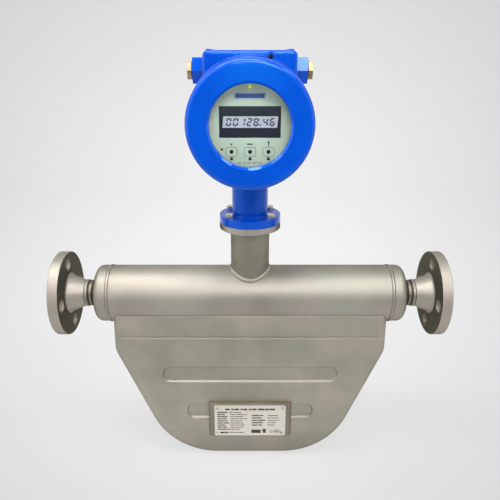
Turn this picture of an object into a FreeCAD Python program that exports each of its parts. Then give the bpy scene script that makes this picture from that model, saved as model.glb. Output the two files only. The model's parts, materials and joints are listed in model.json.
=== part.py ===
"""Coriolis flow meter: twin bent measuring tubes in a welded steel case, with a display head.

Millimetres. The pipe axis runs along X with the flow, Z is up and the display faces -Y.
The origin is the centre of the inlet flange's raised face. Each piece is drawn about the
meter's middle plane, the pipe axis and the neck axis, and its placement moves it from there.
"""
import FreeCAD, Part
import math
import os
import re

import Sketcher
from FreeCAD import Placement, Rotation, Vector

DIMENSIONS = {
    # Process flanges: one inch nominal pipe, class 150
    "pipe_gap": 14,
    "flange_od": 108,
    "flange_thickness": 14.3,
    "raised_face_od": 50.8,
    "raised_face_height": 1.6,
    "bolt_circle": 79.4,
    "bolt_hole_dia": 15.9,
    "bolt_count": 4,
    "flange_bore": 26.6,
    "hub_base_od": 49.2,
    "pipe_od": 33.4,
    "flange_length": 36.5,
    "hub_land": 2,
    "hub_fillet": 3,
    "rim_round": 0.8,
    # Welds and fits
    "weld_width": 4.4,
    "weld_height": 0.8,
    "fit_gap": 0.1,
    # Manifold housing and its end caps
    "housing_od": 73,
    "housing_wall": 3,
    "housing_length": 358,
    "cap_length": 18,
    "cap_round": 8,
    "slot_half_width": 27,
    "slot_margin": 6,
    # Flow splitters
    "splitter_od": 60,
    "splitter_length": 58,
    "splitter_gap": 10,
    "splitter_round": 6,
    "splitter_bore": 25,
    "gallery_dia": 19,
    "stub_od": 18.6,
    # Measuring tubes
    "tube_od": 16,
    "tube_wall": 1.2,
    "tube_spread": 16,
    "leg_inset": 34,
    "brace_drop": 41,
    "brace_thickness": 3,
    "brace_half_width": 28,
    "brace_half_length": 14,
    "brace_corner": 5,
    "root_gap": 0.3,
    "tube_shoulder_drop": 62,
    "tube_shoulder_radius": 55,
    "tube_bottom_drop": 209,
    "tube_bottom_radius": 72,
    # Drive and pick-off sensors between the tubes
    "pickoff_drop": 112,
    "probe_drop": 84,
    "foot_half_length": 10,
    "foot_half_height": 9,
    "foot_wrap": 5,
    "foot_web": 1.6,
    "coil_od": 20,
    "coil_length": 7,
    "coil_bore": 11,
    "coil_bottom": 1.6,
    "magnet_dia": 8.6,
    "magnet_length": 9,
    # Sensor case: two pressed half shells
    "case_depth": 68,
    "case_wall": 2,
    "case_inset": 4.5,
    "case_top_drop": 8,
    "case_flare": 1.6,
    "case_shoulder_drop": 70.6,
    "case_slant": 22.5,
    "case_drop": 234.6,
    "case_shoulder_radius": 30,
    "case_bottom_radius": 95,
    "case_edge_radius": 12,
    "ledge_drop": 49,
    "ledge_step": 1.6,
    "bead_depth": 2.6,
    "bead_taper": 35,
    "bead_corner": 10,
    "upper_bead_half": 115,
    "upper_bead_height": 23.3,
    "upper_bead_drop": 103.3,
    "lower_bead_half": 85,
    "lower_bead_height": 23,
    "lower_bead_drop": 160.6,
    "seam_width": 5,
    "seam_height": 0.7,
    # Nameplate on its stand-off bracket
    "bracket_width": 110.6,
    "bracket_height": 52,
    "bracket_stand": 6,
    "bracket_sheet": 1.5,
    "bracket_bend": 4,
    "plate_width": 95.5,
    "plate_height": 48.5,
    "plate_thickness": 0.8,
    "plate_corner": 2,
    "plate_drop": 171.6,
    "rivet_inset": 4.2,
    "rivet_dia": 3,
    "rivet_head_dia": 4.6,
    "rivet_head_height": 0.9,
    # Neck between the housing and the head
    "neck_pipe_od": 48.3,
    "neck_wall": 2.8,
    "neck_hole_dia": 40,
    "neck_flange_od": 75,
    "neck_flange_bottom": 91,
    "neck_flange_thickness": 7.6,
    "neck_socket_depth": 4,
    "saddle_weld_height": 3,
    "neck_screw_circle": 60,
    "neck_screw_turn": 38,
    "screw_dia": 6,
    "screw_clearance": 0.6,
    "screw_head_flats": 10,
    "screw_head_height": 4,
    "seal_section": 2,
    "neck_seal_dia": 51,
    "feed_height": 80,
    "feed_thickness": 4,
    "feed_glass_dia": 14,
    "feed_glass_height": 3,
    "cable_dia": 6,
    # Head casting
    "head_height": 225,
    "head_flange_thickness": 9.8,
    "head_neck_od": 44,
    "head_neck_bore": 34,
    "head_neck_fillet": 2,
    "head_neck_roof": 6,
    "cable_hole_dia": 20,
    "cable_hole_front": 4,
    "collar_dia": 136,
    "collar_front": 52,
    "collar_back": 40,
    "drum_dia": 120,
    "drum_back": 50,
    "drum_wall": 6,
    "partition_place": 8,
    "partition_wall": 4,
    "thread_length": 12,
    "front_thread_dia": 116.6,
    "rear_thread_dia": 100.6,
    "box_half_width": 50.8,
    "box_top": 72,
    "box_front": 34,
    "box_back": 46,
    "box_wall": 5,
    "box_corner": 6,
    "box_edge": 4,
    "rib_place": 44,
    "rib_width": 6,
    "rib_height": 1,
    "conduit_height": 49.6,
    "conduit_back": 24,
    "conduit_flats": 29,
    "conduit_reach": 66.4,
    "conduit_bore": 18.6,
    "lug_turn": 72,
    "lug_reach": 69,
    "lug_dia": 10,
    "lock_screw_dia": 5,
    "lock_screw_length": 14,
    # Screw covers
    "cover_gap": 0.3,
    "cover_front": 92,
    "cover_dia": 132.4,
    "cover_back_dia": 130,
    "cover_shoulder": 6,
    "cover_wall": 7.5,
    "thread_wall": 6,
    "window_opening": 83,
    "window_rim": 8,
    "window_seat_dia": 100,
    "window_bevel": 2.2,
    "window_thickness": 6,
    "gasket_thickness": 0.8,
    "gasket_width": 5,
    "retainer_thickness": 4,
    "retainer_width": 4.5,
    "ring_section": 2.4,
    "rear_cover_dia": 122,
    "rear_cover_depth": 16,
    "rear_cover_shoulder": 7,
    "rear_cover_wall": 6,
    # Display and electronics
    "dial_front": 70,
    "dial_dia": 97,
    "dial_thickness": 2,
    "dial_rim": 2.4,
    "dial_depth": 8,
    "screen_width": 64,
    "screen_height": 32,
    "screen_raise": 2,
    "screen_sink": 0.6,
    "key_drop": 28.7,
    "key_pitch": 19.5,
    "key_dia": 4,
    "led_raise": 37.3,
    "led_dia": 3.6,
    "board_thickness": 1.6,
    "main_board_front": 36,
    "power_board_front": 14,
    "board_width": 76,
    "board_top": 37,
    "board_bottom": 32,
    "post_inset": 5,
    "post_dia": 6,
    "chip_height": 4,
    "terminal_width": 62,
    "terminal_height": 22,
    "terminal_depth": 14,
    "terminal_pitch": 9,
    "terminal_count": 6,
    "terminal_hole": 4.6,
    "plug_flats": 19.4,
    "plug_head": 5,
    "plug_thread_length": 12,
    "plug_seal_thickness": 1.2,
    "plug_seal_width": 1.4,
}

# Sizes that follow from the ones above
DERIVED = {
    "face_to_face": "housing_length + 2 * (cap_length + pipe_gap + flange_length)",
    "splitter_start": "housing_length / 2 + cap_length - housing_wall - splitter_gap",
    "leg_place": "splitter_start - leg_inset",
    "case_top_half": "housing_length / 2 - case_inset",
    "case_side": "case_top_half + case_flare",
    "post_across": "board_width / 2 - post_inset",
    "post_up": "board_bottom - post_inset",
}

DOC = FreeCAD.newDocument("coriolis_flow_meter")
ALIASES = re.compile(r"\b(" + "|".join(DIMENSIONS) + r")\b")
DERIVED_NAMES = re.compile(r"\b(" + "|".join(DERIVED) + r")\b")
PARTS = []


def fill_sheet():
    """Keep every driving dimension in one spreadsheet, each under its own name."""
    sheet = DOC.addObject("Spreadsheet::Sheet", "dims")
    for row, (alias, size) in enumerate(DIMENSIONS.items(), start=1):
        sheet.set(f"A{row}", alias)
        sheet.set(f"B{row}", str(size))
        sheet.setAlias(f"B{row}", alias)
    DOC.recompute()
    return sheet


SHEET = fill_sheet()


def spell_out(text):
    """The expression with each derived size replaced by its formula."""
    while DERIVED_NAMES.search(text):
        text = DERIVED_NAMES.sub(lambda found: f"({DERIVED[found[0]]})", text)
    return text


def cells(text):
    """The expression with each dimension's name pointed at the spreadsheet."""
    return ALIASES.sub(r"dims.\1", spell_out(text))


def value(text):
    """The number that an expression has now."""
    return float(SHEET.evalExpression(spell_out(text)))


# Sketches

def origin_feature(body, role):
    return next(item for item in body.Origin.OriginFeatures if item.Role == role)


def new_sketch(body, name, plane, lift="0"):
    """An empty sketch on one of the body's own planes, lifted along that plane's normal."""
    sketch = body.newObject("Sketcher::SketchObject", f"{body.Label}_{name}")
    sketch.AttachmentSupport = [(origin_feature(body, plane), "")]
    sketch.MapMode = "FlatFace"
    sketch.setExpression("AttachmentOffset.Base.z", cells(lift))
    return sketch


def drive(sketch, constraint, text):
    """Add a constraint whose size follows the spreadsheet."""
    index = sketch.addConstraint(constraint)
    sketch.setExpression(f"Constraints[{index}]", cells(text))


def pin_point(sketch, geometry, end, place):
    for kind, text in zip(("DistanceX", "DistanceY"), place):
        drive(sketch, Sketcher.Constraint(kind, -1, 1, geometry, end, value(text)), text)


def draw_circle(sketch, across, up, radius):
    centre = Vector(value(across), value(up), 0)
    circle = sketch.addGeometry(Part.Circle(centre, Vector(0, 0, 1), value(radius)))
    pin_point(sketch, circle, 3, (across, up))
    drive(sketch, Sketcher.Constraint("Radius", circle, value(radius)), radius)


def round_corner(before, corner, after, radius):
    """The centre, the two ends and the turning sense of a rounded corner's arc."""
    back = (before - corner).normalize()
    ahead = (after - corner).normalize()
    half = back.getAngle(ahead) / 2
    trim = radius / math.tan(half)
    centre = corner + (back + ahead).normalize() * (radius / math.sin(half))
    turns_left = ahead.cross(back).z > 0
    return corner + back * trim, corner + ahead * trim, centre, turns_left


def add_corner_arc(sketch, corner, place, lines, rounding):
    """Round one corner: its sharp point is pinned, and the arc is tangent to both lines."""
    start, end, centre, turns_left = rounding
    before, after = lines
    sharp = sketch.addGeometry(Part.Point(place), True)
    pin_point(sketch, sharp, 1, corner[:2])
    sketch.addConstraint(Sketcher.Constraint("PointOnObject", sharp, 1, before))
    sketch.addConstraint(Sketcher.Constraint("PointOnObject", sharp, 1, after))
    angles = [math.atan2(point.y - centre.y, point.x - centre.x) for point in (start, end)]
    low, high = angles if turns_left else reversed(angles)
    circle = Part.Circle(centre, Vector(0, 0, 1), (start - centre).Length)
    arc = sketch.addGeometry(Part.ArcOfCircle(circle, low, high if high > low else high + 2 * math.pi))
    first, last = (1, 2) if turns_left else (2, 1)
    sketch.addConstraint(Sketcher.Constraint("Tangent", before, 2, arc, first))
    sketch.addConstraint(Sketcher.Constraint("Tangent", arc, last, after, 1))
    drive(sketch, Sketcher.Constraint("Radius", arc, value(corner[2])), corner[2])


def draw_outline(sketch, corners, closed=True):
    """Lines through corners (across, up), each rounded where it gives a radius as well."""
    places = [Vector(value(corner[0]), value(corner[1]), 0) for corner in corners]
    count = len(corners)
    arcs = {}
    for index, corner in enumerate(corners):
        if len(corner) > 2:
            around = places[index - 1], places[index], places[(index + 1) % count]
            arcs[index] = round_corner(*around, value(corner[2]))
    lines = []
    for index in range(count if closed else count - 1):
        after = (index + 1) % count
        start = arcs[index][1] if index in arcs else places[index]
        end = arcs[after][0] if after in arcs else places[after]
        lines.append(sketch.addGeometry(Part.LineSegment(start, end)))
    if not closed:
        pin_point(sketch, lines[0], 1, corners[0])
        pin_point(sketch, lines[-1], 2, corners[-1])
    for index in range(0 if closed else 1, count if closed else count - 1):
        pair = lines[index - 1], lines[index]
        if index in arcs:
            add_corner_arc(sketch, corners[index], places[index], pair, arcs[index])
        else:
            sketch.addConstraint(Sketcher.Constraint("Coincident", pair[0], 2, pair[1], 1))
            pin_point(sketch, pair[1], 1, corners[index])


def box_corners(low, high, radius=None):
    """The four corners of a rectangle between two opposite ones."""
    corners = [(low[0], low[1]), (high[0], low[1]), (high[0], high[1]), (low[0], high[1])]
    return [corner + (radius,) for corner in corners] if radius else corners


def hexagon_corners(across, up, flats):
    """A hexagon with its flats below and above its centre."""
    corners = []
    for turn in range(0, 360, 60):
        corners.append((f"{across} + {flats} / 2 / cos(30) * cos({turn})",
                        f"{up} + {flats} / 2 / cos(30) * sin({turn})"))
    return corners


# Solid features

def new_body(label, lift="0", exported=True):
    """A piece drawn about the meter's middle plane, lifted above the pipe axis if need be."""
    body = DOC.addObject("PartDesign::Body", label)
    body.Label = label
    body.setExpression("Placement.Base.x", cells("face_to_face / 2"))
    body.setExpression("Placement.Base.z", cells(lift))
    if exported:
        PARTS.append(body)
    return body


def add_feature(body, kind, name, sketch):
    feature = body.newObject(f"PartDesign::{kind}", f"{body.Label}_{name}")
    feature.Profile = sketch
    return feature


def pad(body, name, sketch, length, both=False, back=False):
    feature = add_feature(body, "Pad", name, sketch)
    feature.Midplane = both
    feature.Reversed = back
    feature.setExpression("Length", cells(length))
    return feature


def cut(body, name, sketch, length, both=False, back=False):
    """Pocket that must take material away."""
    before = full_volume(body)
    feature = add_feature(body, "Pocket", name, sketch)
    feature.Midplane = both
    feature.Reversed = back
    feature.setExpression("Length", cells(length))
    if full_volume(body) >= before:
        raise ValueError(f"{feature.Name} cuts nothing")
    return feature


def full_volume(body):
    DOC.recompute()
    return body.Shape.Volume


def turn(body, name, plane, axis, corners, kind="Revolution"):
    """A profile turned all the way round one of the body's axes."""
    sketch = new_sketch(body, f"{name}_profile", plane)
    draw_outline(sketch, corners)
    feature = add_feature(body, kind, name, sketch)
    feature.ReferenceAxis = (origin_feature(body, axis), [""])
    feature.Angle = 360
    return feature


def repeat_round(body, name, original, axis, count):
    pattern = body.newObject("PartDesign::PolarPattern", f"{body.Label}_{name}")
    pattern.Originals = [original]
    pattern.Axis = (origin_feature(body, axis), [""])
    pattern.Angle = 360
    pattern.setExpression("Occurrences", cells(count))
    body.Tip = pattern
    return pattern


def lies_at(axis, text):
    """A test for edges that lie flat at one place along an axis."""
    place = value(text)

    def test(edge):
        low = getattr(edge.BoundBox, f"{axis}Min")
        high = getattr(edge.BoundBox, f"{axis}Max")
        return abs(low - place) < 0.01 and abs(high - place) < 0.01
    return test


def soften(body, name, base, tests, radius, kind="Fillet", size="Radius"):
    """Round the edges of a feature that pass one of the tests."""
    DOC.recompute()
    names = []
    for index, edge in enumerate(base.Shape.Edges, start=1):
        if any(test(edge) for test in tests):
            names.append(f"Edge{index}")
    feature = body.newObject(f"PartDesign::{kind}", f"{body.Label}_{name}")
    feature.Base = (base, names)
    feature.setExpression(size, cells(radius))
    return feature


def keep_shape(label, shape):
    """A piece whose shape is worked out here, placed as the drawn ones are."""
    feature = DOC.addObject("Part::Feature", label)
    feature.Label = label
    feature.Shape = shape
    feature.setExpression("Placement.Base.x", cells("face_to_face / 2"))
    PARTS.append(feature)
    return feature


def towards(side, text):
    """A distance from the middle plane, to the inlet (side -1) or the outlet (side 1)."""
    return f"{side} * ({text})"


def point_towards(side, corners):
    return [(towards(side, corner[0]),) + tuple(corner[1:]) for corner in corners]


# Process connections

def make_flange(label, side):
    """Weld neck flange: raised face, drilled rim, tapered hub and through bore."""
    face = "face_to_face / 2"
    rim_front = f"{face} - raised_face_height"
    rim_back = f"{face} - flange_thickness"
    end = f"{face} - flange_length"
    body = new_body(label)
    turn(body, "forging", "XZ_Plane", "X_Axis", point_towards(side, [
        (face, "flange_bore / 2"),
        (face, "raised_face_od / 2"),
        (rim_front, "raised_face_od / 2"),
        (rim_front, "flange_od / 2", "rim_round"),
        (rim_back, "flange_od / 2", "rim_round"),
        (rim_back, "hub_base_od / 2", "hub_fillet"),
        (f"{end} + hub_land", "pipe_od / 2"),
        (end, "pipe_od / 2"),
        (end, "flange_bore / 2"),
    ]))
    hole = new_sketch(body, "hole_circle", "YZ_Plane", towards(side, face))
    draw_circle(hole, "-bolt_circle / 2", "0", "bolt_hole_dia / 2")
    drilled = cut(body, "bolt_hole", hole, "4 * flange_thickness", both=True)
    repeat_round(body, "bolt_holes", drilled, "X_Axis", "bolt_count")


def make_ring_weld(body, name, side, place, radius):
    """A low crowned bead round the pipe, over the joint at place."""
    turn(body, name, "XZ_Plane", "X_Axis", point_towards(side, [
        (f"{place} - weld_width / 2", f"{radius} + fit_gap"),
        (f"{place} - weld_width / 4", f"{radius} + weld_height", "weld_width / 4"),
        (f"{place} + weld_width / 4", f"{radius} + weld_height", "weld_width / 4"),
        (f"{place} + weld_width / 2", f"{radius} + fit_gap"),
    ]))


def make_pipe_weld(label, side):
    body = new_body(label)
    make_ring_weld(body, "bead", side, "face_to_face / 2 - flange_length", "pipe_od / 2")


# Manifold housing

def make_housing():
    """Pipe over the splitters, slotted below for the tubes and holed above for the neck."""
    body = new_body("manifold_housing")
    half = "housing_length / 2"
    turn(body, "pipe", "XZ_Plane", "X_Axis", box_corners(
        (f"-{half}", "housing_od / 2 - housing_wall"), (half, "housing_od / 2")))
    for name, side in (("inlet", -1), ("outlet", 1)):
        slot = new_sketch(body, f"{name}_slot", "XY_Plane")
        reach = "(brace_half_length + slot_margin)"
        draw_outline(slot, box_corners(
            (towards(side, f"leg_place - {reach}"), "-slot_half_width"),
            (towards(side, f"leg_place + {reach}"), "slot_half_width"), "brace_corner"))
        cut(body, f"{name}_tube_slot", slot, "housing_od")
    hole = new_sketch(body, "neck_hole_circle", "XY_Plane")
    draw_circle(hole, "0", "0", "neck_hole_dia / 2")
    cut(body, "neck_hole", hole, "housing_od", back=True)


def make_end_cap(label, side):
    """Pressed cap that closes the housing round the splitter's neck."""
    root = "housing_length / 2"
    end = "housing_length / 2 + cap_length"
    outer = "housing_od / 2"
    body = new_body(label)
    turn(body, "pressing", "XZ_Plane", "X_Axis", point_towards(side, [
        (root, f"{outer} - housing_wall"),
        (root, outer),
        (end, outer, "cap_round"),
        (end, "pipe_od / 2 + fit_gap"),
        (f"{end} - housing_wall", "pipe_od / 2 + fit_gap"),
        (f"{end} - housing_wall", f"{outer} - housing_wall", "cap_round - housing_wall"),
    ]))


def make_cap_welds():
    """Beads round the housing and round the splitters' necks, at both ends."""
    beads = (("cap_welds", "housing_length / 2", "housing_od / 2"),
             ("neck_seams", "housing_length / 2 + cap_length + weld_width / 2", "pipe_od / 2"))
    for label, place, radius in beads:
        pair = []
        for name, side in (("inlet", -1), ("outlet", 1)):
            body = new_body(f"{name}_{label}", exported=False)
            make_ring_weld(body, "bead", side, place, radius)
            pair.append(body)
        both = DOC.addObject("Part::Compound", label)
        both.Label = label
        both.Links = pair
        PARTS.append(both)


# Flow splitters and measuring tubes

def make_splitter(label, side):
    """Casting that parts the flow from the pipe into two stubs pointing down."""
    body = new_body(label)
    inner = "splitter_start - splitter_length"
    turn(body, "casting", "XZ_Plane", "X_Axis", point_towards(side, [
        ("face_to_face / 2 - flange_length", "0"),
        ("face_to_face / 2 - flange_length", "pipe_od / 2"),
        ("splitter_start", "pipe_od / 2"),
        ("splitter_start", "splitter_od / 2", "splitter_round"),
        (inner, "splitter_od / 2", "splitter_round"),
        (inner, "0"),
    ]))
    stub_end = "brace_drop + brace_thickness / 2"
    for name, across in (("front", "-tube_spread"), ("rear", "tube_spread")):
        stub = new_sketch(body, f"{name}_stub_circle", "XY_Plane")
        draw_circle(stub, towards(side, "leg_place"), across, "stub_od / 2")
        pad(body, f"{name}_stub", stub, stub_end, back=True)
    bore = new_sketch(body, "inlet_circle", "YZ_Plane", towards(side, "leg_place"))
    draw_circle(bore, "0", "0", "splitter_bore / 2")
    cut(body, "pipe_bore", bore, "face_to_face / 2", back=side > 0)
    gallery = new_sketch(body, "gallery_circle", "XZ_Plane")
    draw_circle(gallery, towards(side, "leg_place"), "0", "gallery_dia / 2")
    cut(body, "gallery", gallery, "2 * tube_spread + tube_od - 2 * tube_wall", both=True)
    for name, across in (("front", "-tube_spread"), ("rear", "tube_spread")):
        port = new_sketch(body, f"{name}_port_circle", "XY_Plane")
        draw_circle(port, towards(side, "leg_place"), across, "tube_od / 2 - tube_wall")
        cut(body, f"{name}_port", port, f"2 * ({stub_end})")


def make_brace(label, side):
    """Plate that ties both stubs together where the free tubes begin."""
    body = new_body(label)
    lift = "-brace_drop - brace_thickness / 2"
    plate = new_sketch(body, "outline", "XY_Plane", lift)
    draw_outline(plate, box_corners(
        (towards(side, "leg_place - brace_half_length"), "-brace_half_width"),
        (towards(side, "leg_place + brace_half_length"), "brace_half_width"), "brace_corner"))
    pad(body, "plate", plate, "brace_thickness")
    for name, across in (("front", "-tube_spread"), ("rear", "tube_spread")):
        hole = new_sketch(body, f"{name}_circle", "XY_Plane", lift)
        draw_circle(hole, towards(side, "leg_place"), across, "stub_od / 2 + fit_gap")
        cut(body, f"{name}_hole", hole, "brace_thickness", back=True)


TUBE_TOP = "-(brace_drop + brace_thickness / 2 + root_gap)"
LEG_RUN = "(tube_bottom_drop - tube_shoulder_drop) * tan(case_slant)"


def make_flow_tube(label, across):
    """One bent tube: down, in along the slant, across the bottom and back up."""
    body = new_body(label)
    shoulder = ("leg_place", "-tube_shoulder_drop", "tube_shoulder_radius")
    bottom = (f"leg_place - {LEG_RUN}", "-tube_bottom_drop", "tube_bottom_radius")
    right = [("leg_place", TUBE_TOP), shoulder, bottom]
    path = new_sketch(body, "path", "XZ_Plane", f"-({across})")
    draw_outline(path, point_towards(-1, right) + right[::-1], closed=False)
    section = new_sketch(body, "section", "XY_Plane", TUBE_TOP)
    draw_circle(section, "-leg_place", across, "tube_od / 2")
    draw_circle(section, "-leg_place", across, "tube_od / 2 - tube_wall")
    DOC.recompute()
    tube = add_feature(body, "AdditivePipe", "tube", section)
    tube.Spine = (path, [f"Edge{i}" for i in range(1, len(path.Shape.Edges) + 1)])


# Drive and pick-off sensors

def stations():
    """Where each sensor sits on the tubes: place across, place up and the tube's slope."""
    slope = 90 - value("case_slant")
    pickoff = value("leg_place - (pickoff_drop - tube_shoulder_drop) * tan(case_slant)")
    return {
        "drive": (0, -value("tube_bottom_drop"), 0),
        "inlet_pickoff": (-pickoff, -value("pickoff_drop"), slope),
        "outlet_pickoff": (pickoff, -value("pickoff_drop"), -slope),
    }


def put_at_station(body, station):
    """Turn and move a piece drawn along X so that it follows the tube at its station."""
    across, up, slope = station
    body.setExpression("Placement.Base.x", None)
    body.setExpression("Placement.Base.z", None)
    place = Vector(value("face_to_face / 2") + across, 0, up)
    body.Placement = Placement(place, Rotation(Vector(0, 1, 0), slope))


def add_foot(body, side):
    """Saddle that grips one tube: side -1 is the front tube, 1 the rear one."""
    seat = "tube_spread - tube_od / 2"
    foot = new_sketch(body, "foot_outline", "YZ_Plane")
    draw_outline(foot, box_corners(
        (towards(side, f"{seat} - foot_web"), "-foot_half_height"),
        (towards(side, f"{seat} + foot_wrap"), "foot_half_height")))
    pad(body, "foot", foot, "2 * foot_half_length", both=True)
    seat_circle = new_sketch(body, "seat_circle", "YZ_Plane")
    draw_circle(seat_circle, towards(side, "tube_spread"), "0", "tube_od / 2 + fit_gap")
    cut(body, "seat", seat_circle, "4 * foot_half_length", both=True)


def make_coil(label, station):
    """Wound bobbin on a moulded foot, open towards the magnet."""
    body = new_body(label)
    add_foot(body, -1)
    root = "tube_spread - tube_od / 2 - foot_web"
    bobbin = new_sketch(body, "bobbin_circle", "XZ_Plane", root)
    draw_circle(bobbin, "0", "0", "coil_od / 2")
    pad(body, "bobbin", bobbin, "coil_length", back=True)
    bore = new_sketch(body, "bore_circle", "XZ_Plane", f"{root} - coil_bottom")
    draw_circle(bore, "0", "0", "coil_bore / 2")
    cut(body, "bore", bore, "coil_length")
    put_at_station(body, station)


def make_magnet_holder(label, station):
    body = new_body(label)
    add_foot(body, 1)
    put_at_station(body, station)


def make_magnet(label, station):
    """Bar magnet that stands on its holder and reaches into the coil."""
    body = new_body(label)
    magnet = new_sketch(body, "circle", "XZ_Plane", "-(tube_spread - tube_od / 2 - foot_web)")
    draw_circle(magnet, "0", "0", "magnet_dia / 2")
    pad(body, "bar", magnet, "magnet_length")
    put_at_station(body, station)


def make_probe():
    """Temperature probe clipped to the front tube below its inlet bend."""
    body = new_body("temperature_sensor")
    add_foot(body, -1)
    across = value("leg_place - (probe_drop - tube_shoulder_drop) * tan(case_slant)")
    put_at_station(body, (-across, -value("probe_drop"), 90 - value("case_slant")))


# Sensor case

def case_outline(inset):
    """Half of the case's front outline, from its top to its bottom, inset by a wall."""
    slant = "case_slant"
    side = f"case_side - {inset}"
    shoulder = f"-(case_shoulder_drop - {inset} * tan({slant} / 2))"
    floor = f"-(case_drop - {inset})"
    run = f"(case_drop - case_shoulder_drop - {inset} + {inset} * tan({slant} / 2))"
    return [
        (f"case_top_half - {inset}", "-case_top_drop"),
        (side, shoulder, f"case_shoulder_radius - {inset}"),
        (f"{side} - {run} * tan({slant})", floor, f"case_bottom_radius - {inset}"),
    ]


def make_case_form(label, inset, depth, bead_grow):
    """One side of a half shell's sheet, as a solid: outline, edge radius, ledge and beads."""
    body = new_body(label, exported=False)
    right = case_outline(inset)
    outline = new_sketch(body, "outline", "XZ_Plane")
    draw_outline(outline, right + point_towards(-1, right)[::-1])
    block = pad(body, "block", outline, depth)
    top = lies_at("Z", "-case_top_drop")

    def is_front_rim(edge, front=lies_at("Y", f"-({depth})")):
        return front(edge) and not top(edge)
    soften(body, "rim", block, [is_front_rim], f"case_edge_radius - {inset}")
    ledge = new_sketch(body, "ledge_outline", "XZ_Plane", depth)
    draw_outline(ledge, box_corners(
        ("-(case_side)", f"-(ledge_drop - {inset} / 2)"), ("case_side", "0")))
    cut(body, "ledge", ledge, "ledge_step")
    for name in ("upper", "lower"):
        add_bead(body, name, depth, bead_grow)
    return body


def add_bead(body, name, depth, grow):
    """A stiffening bead pressed inwards, with sloping sides."""
    sketch = new_sketch(body, f"{name}_bead_outline", "XZ_Plane", depth)
    half = f"{name}_bead_half + {grow}"
    rise = f"{name}_bead_height / 2 + {grow}"
    draw_outline(sketch, box_corners(
        (f"-({half})", f"-{name}_bead_drop - ({rise})"), (half, f"-{name}_bead_drop + {rise}"),
        f"bead_corner + {grow}"))
    bead = cut(body, f"{name}_bead", sketch, "bead_depth")
    bead.setExpression("TaperAngle", cells("-bead_taper"))


def cylinder_along_x(label, radius, length):
    """Space taken up by a round piece on the pipe axis."""
    cylinder = DOC.addObject("Part::Cylinder", label)
    cylinder.setExpression("Radius", cells(radius))
    cylinder.setExpression("Height", cells(length))
    cylinder.Placement = Placement(Vector(0, 0, 0), Rotation(Vector(0, 1, 0), 90))
    cylinder.setExpression("Placement.Base.x", cells(f"face_to_face / 2 - ({length}) / 2"))
    return cylinder


def subtract(label, base, tool, exported=False):
    result = DOC.addObject("Part::Cut", label)
    result.Label = label
    result.Base = base
    result.Tool = tool
    if exported:
        PARTS.append(result)
    return result


def make_case():
    """Front and rear half shells of one thickness, trimmed to the housing they are welded to."""
    outer = make_case_form("case_outer_form", "0", "case_depth / 2", "0")
    inner = make_case_form("case_inner_form", "case_wall", "case_depth / 2 - case_wall",
                           "case_wall / 2")
    opening = new_sketch(inner, "mouth_outline", "XZ_Plane")
    side = "case_top_half - case_wall"
    draw_outline(opening, box_corners((f"-({side})", "-2 * case_top_drop"), (side, "0")))
    pad(inner, "mouth", opening, "case_depth / 2 - case_wall - ledge_step")
    pressing = subtract("case_pressing", outer, inner)
    space = cylinder_along_x("housing_space", "housing_od / 2 + fit_gap", "face_to_face")
    front = subtract("case_front_shell", pressing, space, exported=True)
    rear = DOC.addObject("Part::Mirroring", "case_rear_shell")
    rear.Label = "case_rear_shell"
    rear.Source = front
    rear.Base = Vector(0, 0, 0)
    rear.Normal = Vector(0, 1, 0)
    PARTS.append(rear)
    make_case_seam(space)


def make_case_seam(space):
    """Weld bead along the joint of the two half shells."""
    band = new_body("case_seam_band", exported=False)
    for name, inset, make in (("crown", "-seam_height", pad), ("shell", "-fit_gap", cut)):
        right = case_outline(f"({inset})")
        outline = new_sketch(band, f"{name}_outline", "XZ_Plane")
        draw_outline(outline, right + point_towards(-1, right)[::-1])
        make(band, name, outline, "seam_width" if make is pad else "2 * seam_width", both=True)
    subtract("case_seam_weld", band, space, exported=True)


# Nameplate

def make_nameplate():
    """Bent sheet bracket on the case's front, with a plate riveted to it."""
    front = "case_depth / 2 + bracket_stand"
    bracket = new_body("nameplate_bracket")
    inside = "bracket_width / 2 - bracket_sheet"
    leg = [("bracket_width / 2", "-case_depth / 2"),
           ("bracket_width / 2", f"-({front})", "bracket_bend")]
    lining = [(inside, f"-({front} - bracket_sheet)", "bracket_bend - bracket_sheet"),
              (inside, "-case_depth / 2")]
    channel = new_sketch(bracket, "channel", "XY_Plane", "-plate_drop - bracket_height / 2")
    draw_outline(channel, leg + point_towards(-1, leg)[::-1]
                 + point_towards(-1, lining)[::-1] + lining)
    pad(bracket, "sheet", channel, "bracket_height")
    plate = new_body("nameplate")
    outline = new_sketch(plate, "outline", "XZ_Plane", front)
    draw_outline(outline, box_corners(
        ("-plate_width / 2", "-plate_drop - plate_height / 2"),
        ("plate_width / 2", "-plate_drop + plate_height / 2"), "plate_corner"))
    pad(plate, "sheet", outline, "plate_thickness")
    add_rivet_holes(bracket, plate, front)
    make_rivets(front)


def rivet_places():
    across = "(plate_width / 2 - rivet_inset)"
    rise = "(plate_height / 2 - rivet_inset)"
    return [(f"{a} * {across}", f"-plate_drop + {b} * {rise}") for a in (-1, 1) for b in (-1, 1)]


def add_rivet_holes(bracket, plate, front):
    for body in (bracket, plate):
        holes = new_sketch(body, "rivet_circles", "XZ_Plane", f"{front} + plate_thickness")
        for across, up in rivet_places():
            draw_circle(holes, across, up, "rivet_dia / 2 + fit_gap / 2")
        cut(body, "rivet_holes", holes, "plate_thickness + bracket_sheet")


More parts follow.
